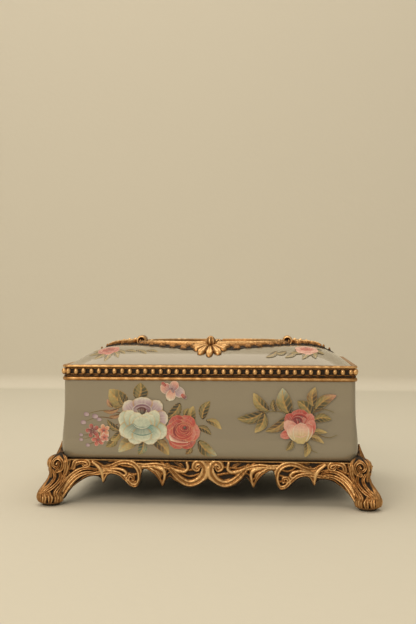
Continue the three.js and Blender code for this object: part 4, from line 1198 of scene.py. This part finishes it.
def painted(patches, lay, flip=False):
    """Painted patches as one surface: each lies a little over the one before it, on the surface that lay
    gives for plan points and a thickness."""
    made = []
    for k, (plan, colour) in enumerate(patches):
        points = lay(plan[..., 0], plan[..., 1], 0.04 + 0.012 * k)
        made.append(surface(points, colour, flip=flip))
    points, faces, tone = joined(made)
    return points, facing(points, faces, lay), tone


def facing(points, faces, lay):
    """Faces turned, where needed, so that each looks away from the glaze that it lies on."""
    a, b, c = points[faces[:, 0]], points[faces[:, 1]], points[faces[:, 2]]
    away = lay.away(points[faces].mean(1))
    back = (np.cross(b - a, c - b) * away).sum(1) < 0
    return np.where(back[:, None], faces[:, ::-1], faces)


class OnWall:
    """Lays plan points (along, z) on a wall of the body that faces -Y before it is turned."""

    def __init__(self, half):
        self.half = half

    def __call__(self, x, z, thick):
        """Each point stands out from the wall by the thickness."""
        return np.stack([x, -(self.half + body_out(z)) - thick, z], 2)

    def away(self, points):
        """The way out of the wall at each point."""
        return np.array([0, -1.0, 0]) + 0 * points


class OnDome:
    """Lays plan points (x, y) on the lid."""

    def __call__(self, x, y, thick):
        """Each point stands above the dome by the thickness."""
        return np.stack([x, y, dome(x, y) + thick], 2)

    def away(self, points):
        """The way up from the lid at each point."""
        return np.array([0, 0, 1.0]) + 0 * points


def lid_flowers():
    """The painting on the lid's slopes: a rose with a fan of leaves in each corner."""
    green = "dark moss olive"
    left = [leaf((-72 + 8 * k, -48 - k % 2), (-63 + 8 * k, -54 + k % 2 * 3), 5, green) for k in range(4)]
    left += [leaf((-77, -47), (-77 + 15 * math.cos(a), -47 + 15 * math.sin(a)), 6, green, 0.1, 0.1)
             for a in (2.6, 3.4, 4.1, 4.7, 5.4)]  # fmt: skip
    left += rose((-77, -46), 8.6, ["crimson red pink", "wine crimson pink"], ["wine crimson red"], 100)
    right = [leaf((64 - 7 * k, -50), (56 - 7 * k, -58 + k % 2 * 4), 5, green) for k in range(3)]
    right += [leaf((72, -46), (72 + 14 * math.cos(a), -46 + 14 * math.sin(a)), 6, green, 0.1, 0.1)
              for a in (-0.4, -1.1, -1.8, 0.5, -2.6)]  # fmt: skip
    right += rose((72, -46), 8.8, ["red pink blush", "crimson pink blush"], ["crimson red pink"], 100)
    near = left + right
    return near + [(plan * [-1, -1], colour) for plan, colour in near]


# Lining


def cushion(name, plump, flat_axis, outward, cells=(34, 24)):
    """A padded panel that fills its node's box: a thin box whose free face swells by plump. The swelling is
    the product of two rounded profiles, so it is fullest in the middle and pinched at the edges."""
    low, high = node_box(name)
    u, v = np.linspace(-1, 1, cells[0])[:, None], np.linspace(-1, 1, cells[1])[None, :]
    axes = [k for k in range(3) if k != flat_axis]
    swell = ((1 - np.abs(u) ** 5) * (1 - np.abs(v) ** 5)) ** 0.5
    mid, half = (low + high) / 2, (high - low) / 2
    round_off = 1 - 0.004 * (1 - swell)
    front = np.zeros(swell.shape + (3,))
    front[..., axes[0]] = mid[axes[0]] + half[axes[0]] * u * round_off
    front[..., axes[1]] = mid[axes[1]] + half[axes[1]] * v * round_off
    rear = front.copy()
    thick = high[flat_axis] - low[flat_axis]
    back = (low if outward > 0 else high)[flat_axis]
    rear[..., flat_axis] = back
    front[..., flat_axis] = back + outward * (thick * (0.86 + 0.14 * swell) + plump * swell**2)
    made = slab(front, rear, 0.5 + 0 * swell)
    turned_in = (flat_axis == 1) != (outward < 0)
    return (made[0], made[1][:, ::-1], made[2]) if turned_in else made


def filled(made, flat_axis, outward, pressure, frames=26):
    """A panel's cover filled like a cushion. Its cloth is held along its back and its seams, and soft
    pressure from inside pushes its face out and wrinkles it: a short cloth simulation at twenty times full
    size, whose movement is brought back to scale and kept on the outward side."""
    points, faces, tone = made
    grown = 20 * MM
    mesh = bpy.data.meshes.new("cover")
    mesh.from_pydata((points * grown).tolist(), [], faces.tolist())
    cover = bpy.data.objects.new("cover", mesh)
    bpy.context.scene.collection.objects.link(cover)
    depth = (points[:, flat_axis] - points[:, flat_axis].min()) / max(np.ptp(points[:, flat_axis]), 1e-6)
    depth = depth if outward > 0 else 1 - depth
    held = cover.vertex_groups.new(name="held")
    held.add(np.flatnonzero(depth < 0.5).tolist(), 1.0, "REPLACE")
    cloth = cover.modifiers.new("cloth", "CLOTH").settings
    cloth.quality, cloth.mass, cloth.vertex_group_mass = 5, 0.2, "held"
    cloth.use_pressure, cloth.uniform_pressure_force = True, pressure
    cloth.tension_stiffness, cloth.compression_stiffness, cloth.bending_stiffness = 12, 12, 0.6
    cloth.shrink_min = -0.035
    cloth.effector_weights.gravity = 0
    for moment in range(1, frames + 1):
        bpy.context.scene.frame_set(moment)
    seen = cover.evaluated_get(bpy.context.evaluated_depsgraph_get())
    moved = np.zeros(len(points) * 3)
    seen.data.vertices.foreach_get("co", moved)
    bpy.data.objects.remove(cover)
    bpy.context.scene.frame_set(1)
    shift = moved.reshape(-1, 3) / grown - points
    shift = np.clip(shift, -2.2, 2.2)
    shift[:, flat_axis] = outward * np.clip(shift[:, flat_axis] * outward, -0.2, 1.8)
    side = [k for k in range(3) if k != flat_axis]
    shift[:, side] *= 0.3
    return points + shift * (depth >= 0.5)[:, None], faces, tone


# Stage


def stage_sweep():
    """The floor and the wall as one sheet: flat under the box, then a quarter circle up, then a wall."""
    radius, behind, front, top = 25.0, 858.0, -3000.0, 2600.0
    turn = np.linspace(-math.pi / 2, 0, 24)
    y = np.concatenate([[front, 0], behind + radius * np.cos(turn), [behind + radius]])
    z = np.concatenate([[0, 0], radius + radius * np.sin(turn), [top]])
    x = np.linspace(-3000, 3000, 9)[:, None]
    return surface(np.stack([x + 0 * y, y + 0 * x, z + 0 * x], 2), flip=True)


def area_light(name, size, place, aim, power, colour):
    """A soft rectangular light of a given size, at a place, aimed at a point. Power is in watts."""
    data = bpy.data.lights.new(name, "AREA")
    data.shape = "RECTANGLE"
    data.size, data.size_y = size[0] * MM, size[1] * MM
    data.energy = power
    data.color = linear(colour)
    light = bpy.data.objects.new(name, data)
    bpy.context.scene.collection.objects.link(light)
    light.location = np.array(place) * MM
    direction = np.array(aim, float) - np.array(place, float)
    light.rotation_euler = Vector(direction).to_track_quat("-Z", "Y").to_euler()
    return light


# The add-on


def length_property(name, description, length):
    """A length that the panel shows in the scene's units."""
    return bpy.props.FloatProperty(name=name, description=description, default=length * MM, unit="LENGTH")


class TrinketSizes(bpy.types.PropertyGroup):
    """The sizes that a user would change."""

    bead_width: length_property("Bead width", "Width of one bead", 3.35)
    bead_height: length_property("Bead height", "Height of one bead", 4.6)
    eye_height: length_property("Eye height", "Height of the camera over the table", 140)
    eye_distance: length_property("Eye distance", "From the camera to the box's middle", 697)
    eye_side: length_property("Eye side", "How far the camera is moved to its right", -5.2)
    eye_turn: bpy.props.FloatProperty(
        name="Eye turn",
        description="How far the camera stands round to the right",
        default=math.radians(4.5),
        subtype="ANGLE",
    )


def colour_property(name, description, colour):
    """A colour that the panel shows as a swatch."""
    return bpy.props.FloatVectorProperty(
        name=name, description=description, default=rgba(colour), size=4, min=0, max=1, subtype="COLOR"
    )


class TrinketColours(bpy.types.PropertyGroup):
    """The colours that a user would change."""

    gold: colour_property("Gold", "Gilding on the faces of the casting", "#b0824f")
    gold_deep: colour_property("Deep gold", "Gilding where it is thin", "#8a5f32")
    gold_crest: colour_property("Crest gold", "Gilding on the rubbed crests", "#f0c68c")
    patina: colour_property("Patina", "Umber glaze in the hollows", "#24180d")
    glaze: colour_property("Glaze", "The porcelain's ground colour", "#918977")
    glaze_deep: colour_property("Deep glaze", "The ground where the glaze lies thick", "#8a8270")
    glaze_fleck: colour_property("Fleck", "Specks from the firing", "#6f6a5c")
    cloth: colour_property("Cloth", "The linen under the box", "#d2d0c5")
    wall: colour_property("Wall", "The wall behind the box", "#dcd9ce")
    velvet: colour_property("Velvet", "The lining's pile", "#6a1420")
    velvet_deep: colour_property("Deep velvet", "The pile where it is brushed down", "#430a14")
    velvet_sheen: colour_property("Velvet sheen", "Light caught by the pile", "#c9707a")
    felt: colour_property("Felt", "Fibres on top of the felt", "#56513f")
    felt_deep: colour_property("Deep felt", "The felt between its fibres", "#2b2924")
    brass: colour_property("Brass", "The hinges where they are clean", "#d8b15c")
    brass_dull: colour_property("Dull brass", "The hinges where they are tarnished", "#8a6430")


class TrinketOperator:
    """What the operators share: undo, and the sizes of the scene."""

    bl_options = {"REGISTER", "UNDO"}

    @property
    def sizes(self):
        """The scene's sizes."""
        return bpy.context.scene.trinket_sizes


class TRINKET_OT_porcelain(TrinketOperator, bpy.types.Operator):
    """Make the glazed body and lid"""

    bl_idname = "trinket.porcelain"
    bl_label = "Porcelain"

    def execute(self, context):
        glaze = finish_of(porcelain_glaze)
        put("porcelain_body", body_surface(), glaze, BOX, ["body_shell"], 50)
        put("porcelain_lid", lid_surface(), glaze, LID, ["lid_shell"], 50)
        return {"FINISHED"}


class TRINKET_OT_mouldings(TrinketOperator, bpy.types.Operator):
    """Make the gilt rim of the body and the gilt band of the lid"""

    bl_idname = "trinket.mouldings"
    bl_label = "Mouldings"

    def execute(self, context):
        gilding = finish_of(antique_gilding)
        put("gilt_rim", rim_surface(), gilding, BOX, ["body_rim"])
        put("gilt_band", band_surface(), gilding, LID, ["lid_band"])
        return {"FINISHED"}


class TRINKET_OT_beading(TrinketOperator, bpy.types.Operator):
    """Make the rows of beads and the corner beads"""

    bl_idname = "trinket.beading"
    bl_label = "Beading"

    def execute(self, context):
        gilding = finish_of(antique_gilding)
        for side in ("front", "right", "rear", "left"):
            made = bead_row(side, self.sizes)
            put("beading_" + side, made, gilding, LID, ["bead_row_" + side], 80)
        for corner in ("front_left", "front_right", "rear_left", "rear_right"):
            low, high = node_box("bead_corner_" + corner)
            bead = egg(self.sizes.bead_width / MM + 0.5, self.sizes.bead_height / MM, 14, 9)
            middle = (low + high) / 2
            middle[:2] -= 0.9 * np.sign(middle[:2])
            made = (bead[0] + middle, bead[1], bead[2])
            put("corner_bead_" + corner, made, gilding, LID, ["bead_corner_" + corner], 80)
        return {"FINISHED"}


class TRINKET_OT_stand(TrinketOperator, bpy.types.Operator):
    """Make the scrolled aprons and the legs of the stand"""

    bl_idname = "trinket.stand"
    bl_label = "Stand"

    def execute(self, context):
        gilding = finish_of(antique_gilding)
        for quarter, side in enumerate(("front", "right", "rear", "left")):
            points, faces, tone = apron_surface(quarter % 2 == 0, quarter + 11)
            points = points - [0, HALF[1 - quarter % 2], 0]
            made = turned((points, faces, tone), quarter)
            put("scrolled_apron_" + side, made, gilding, BOX, ["apron_" + side], 60)
        leg, leaf = leg_surface(5), crest_leaf()
        for corner, axes in (
            ("front_right", []), ("front_left", [0]), ("rear_right", [1]), ("rear_left", [0, 1]),
        ):  # fmt: skip
            pair = joined([leg, leaf])
            for axis in axes:
                pair = mirrored(pair, axis)
            put("leg_" + corner, pair, gilding, BOX, ["foot_" + corner], 60)
        return {"FINISHED"}


class TRINKET_OT_cartouche(TrinketOperator, bpy.types.Operator):
    """Make the gilt cartouche on the lid: its rails, leaves, scrolls and sprays"""

    bl_idname = "trinket.cartouche"
    bl_label = "Cartouche"

    def execute(self, context):
        gilding = finish_of(antique_gilding)
        rail, volute, spray = rail_surface(21), volute_surface(), spray_surface(31)
        sides = (
            ("front", None, {"rail": rail, "acanthus": acanthus_surface(8.2)}),
            ("rear", 1, {"rail": rail, "acanthus": acanthus_surface(3.4)}),
            ("right", None, {"scroll": volute, "spray": spray}),
            ("left", 0, {"scroll": volute, "spray": spray}),
        )
        for side, axis, pieces in sides:
            for kind, made in pieces.items():
                made = made if axis is None else mirrored(made, axis)
                put(f"gilt_{kind}_{side}", made, gilding, LID, [f"cartouche_{kind}_{side}"], 60)
        return {"FINISHED"}


class TRINKET_OT_painting(TrinketOperator, bpy.types.Operator):
    """Paint the roses and leaves on the body and the lid"""

    bl_idname = "trinket.painting"
    bl_label = "Painting"

    def execute(self, context):
        enamel = finish_of(overglaze_enamel)
        front = left_bouquet() + right_bouquet()
        rear = posy(-52, 61, 13, 1) + posy(48, 60, 11.5, -1)
        end = posy(0, 62, 12.5, 1)
        walls = (("front", front, 0), ("right", end, 1), ("rear", rear, 2), ("left", end, 3))
        for side, patches, quarter in walls:
            made = turned(painted(patches, OnWall(HALF[1 - quarter % 2])), quarter)
            put("painted_flowers_" + side, made, enamel, BOX, [], 180)
        put("painted_flowers_lid", painted(lid_flowers(), OnDome()), enamel, LID, [], 180)
        return {"FINISHED"}


class TRINKET_OT_lining(TrinketOperator, bpy.types.Operator):
    """Make the velvet lining: the floor cushion, the padded walls and the pad in the lid"""

    bl_idname = "trinket.lining"
    bl_label = "Lining"

    def execute(self, context):
        velvet = finish_of(silk_velvet)
        panels = (
            ("floor_cushion", BOX, 2, 1, 1.6, 9.0), ("lining_front", BOX, 1, 1, 0.5, 4.0),
            ("lining_rear", BOX, 1, -1, 0.5, 4.0), ("lining_left", BOX, 0, 1, 0.5, 4.0),
            ("lining_right", BOX, 0, -1, 0.5, 4.0), ("lid_lining", LID, 2, -1, 0.0, 4.0),
        )  # fmt: skip
        for node, body, axis, outward, plump, pressure in panels:
            made = filled(cushion(node, plump, axis, outward), axis, outward, pressure)
            piece = put("velvet_" + node, made, velvet, body, [node], 70)
        return {"FINISHED"}


class TRINKET_OT_fittings(TrinketOperator, bpy.types.Operator):
    """Make the plate inside the stand and the felt pads under the feet"""

    bl_idname = "trinket.fittings"
    bl_label = "Plate and pads"

    def execute(self, context):
        edge, middle = TRAY_HIGH[0] - HALF[0], 0.02 - HALF[1]
        low, high = TRAY_LOW[2], TRAY_HIGH[2]
        section = [(middle, low), (edge - 0.3, low), (edge, low + 0.3)]
        section += [(edge, high - 0.3), (edge - 0.3, high), (middle, high)]
        # Painted shade: the plate's relief tone is set low, so it shows the dark umber and stands in for the
        # shade in the cavity under the box.
        made = carried(section, tone=0.12, closed=False)
        put("stand_plate", made, finish_of(antique_gilding), BOX, ["stand_tray"])
        for corner in ("front_left", "front_right", "rear_left", "rear_right"):
            low, high = node_box("felt_pad_" + corner)
            mid, half = (low + high) / 2, (high - low) / 2
            share = np.array([0.02, 0.9, 1.0, 1.0, 0.93, 0.02])[:, None]
            level = np.array([0, 0, 0.3, 0.75, 1.0, 1.0])[:, None]
            turn = np.linspace(0, math.tau, 40, endpoint=False)[None, :]
            pad = np.stack([mid[0] + half[0] * share * np.cos(turn), mid[1] + half[1] * share * np.sin(turn),
                            low[2] + (high - low)[2] * level + 0 * turn], 2)  # fmt: skip
            made = joined([surface(pad, round_cols=True), cap(pad[0], True), cap(pad[-1], False)])
            piece = put("wool_pad_" + corner, made, finish_of(wool_felt), BOX, ["felt_pad_" + corner])
        return {"FINISHED"}


class TRINKET_OT_nodes(TrinketOperator, bpy.types.Operator):
    """Give the frame's own pieces their finishes"""

    bl_idname = "trinket.nodes"
    bl_label = "Frame finishes"

    def execute(self, context):
        makers = {"glaze": porcelain_glaze, "gilding": antique_gilding, "velvet": silk_velvet,
                  "felt": wool_felt, "brass": drawn_brass}  # fmt: skip
        for row in frame["record"]["subparts"]:
            node = frame["nodes"][row["node"]]
            node.data.materials.clear()
            node.data.materials.append(finish_of(makers[row["material_slot"]]))
        return {"FINISHED"}


class TRINKET_OT_stage(TrinketOperator, bpy.types.Operator):
    """Make the floor, the lights and the camera"""

    bl_idname = "trinket.stage"
    bl_label = "Stage"

    def execute(self, context):
        scene = context.scene
        sweep = put("stage_sweep", stage_sweep(), finish_of(linen_stage), BOX)
        sky = bpy.data.worlds.new("warm_room")
        sky.use_nodes = True
        back = sky.node_tree.nodes["Background"]
        back.inputs[0].default_value = rgba("#fff1da")
        back.inputs[1].default_value = 0.44
        scene.world = sky
        area_light("window_above", (2200, 1700), (-200, 350, 1650), (0, 0, 50), 21.5, "#fff3e0")
        area_light("room_fill", (1000, 700), (-450, -1250, 800), (0, 0, 60), 8.4, "#ffebd0")
        lens = bpy.data.cameras.new("view")
        lens.lens = 50
        camera = bpy.data.objects.new("view", lens)
        scene.collection.objects.link(camera)
        turn, away = self.sizes.eye_turn, self.sizes.eye_distance
        side = self.sizes.eye_side
        camera.location = (
            math.sin(turn) * away + math.cos(turn) * side,
            -math.cos(turn) * away + math.sin(turn) * side,
            self.sizes.eye_height,
        )
        camera.rotation_euler = (math.pi / 2, 0, turn)
        scene.camera = camera
        scene.view_settings.view_transform = "Standard"
        return {"FINISHED"}


class TRINKET_PT_panel(bpy.types.Panel):
    """The builder's panel in the 3D view's sidebar"""

    bl_label = "Trinket Box"
    bl_space_type = "VIEW_3D"
    bl_region_type = "UI"
    bl_category = "Trinket Box"

    def draw(self, context):
        """Lists the sizes, the colours and the operators."""
        for group in (context.scene.trinket_sizes, context.scene.trinket_colours):
            column = self.layout.column(align=True)
            for key in group.bl_rna.properties.keys():
                if key not in ("rna_type", "name"):
                    column.prop(group, key)
        for operator in OPERATORS:
            self.layout.operator(operator.bl_idname)


OPERATORS = (
    TRINKET_OT_nodes,
    TRINKET_OT_porcelain,
    TRINKET_OT_mouldings,
    TRINKET_OT_beading,
    TRINKET_OT_stand,
    TRINKET_OT_cartouche,
    TRINKET_OT_painting,
    TRINKET_OT_lining,
    TRINKET_OT_fittings,
    TRINKET_OT_stage,
)
CLASSES = (TrinketSizes, TrinketColours, *OPERATORS, TRINKET_PT_panel)


def register():
    """Registers the classes, and gives each scene its sizes and colours."""
    for cls in CLASSES:
        bpy.utils.register_class(cls)
    bpy.types.Scene.trinket_sizes = bpy.props.PointerProperty(type=TrinketSizes)
    bpy.types.Scene.trinket_colours = bpy.props.PointerProperty(type=TrinketColours)


def unregister():
    """Takes away what register added."""
    del bpy.types.Scene.trinket_colours
    del bpy.types.Scene.trinket_sizes
    for cls in reversed(CLASSES):
        bpy.utils.unregister_class(cls)


def main():
    """Registers the add-on and builds everything in order."""
    register()
    for operator in OPERATORS:
        group, name = operator.bl_idname.split(".")
        getattr(getattr(bpy.ops, group), name)()


if __name__ == "__main__":
    main()
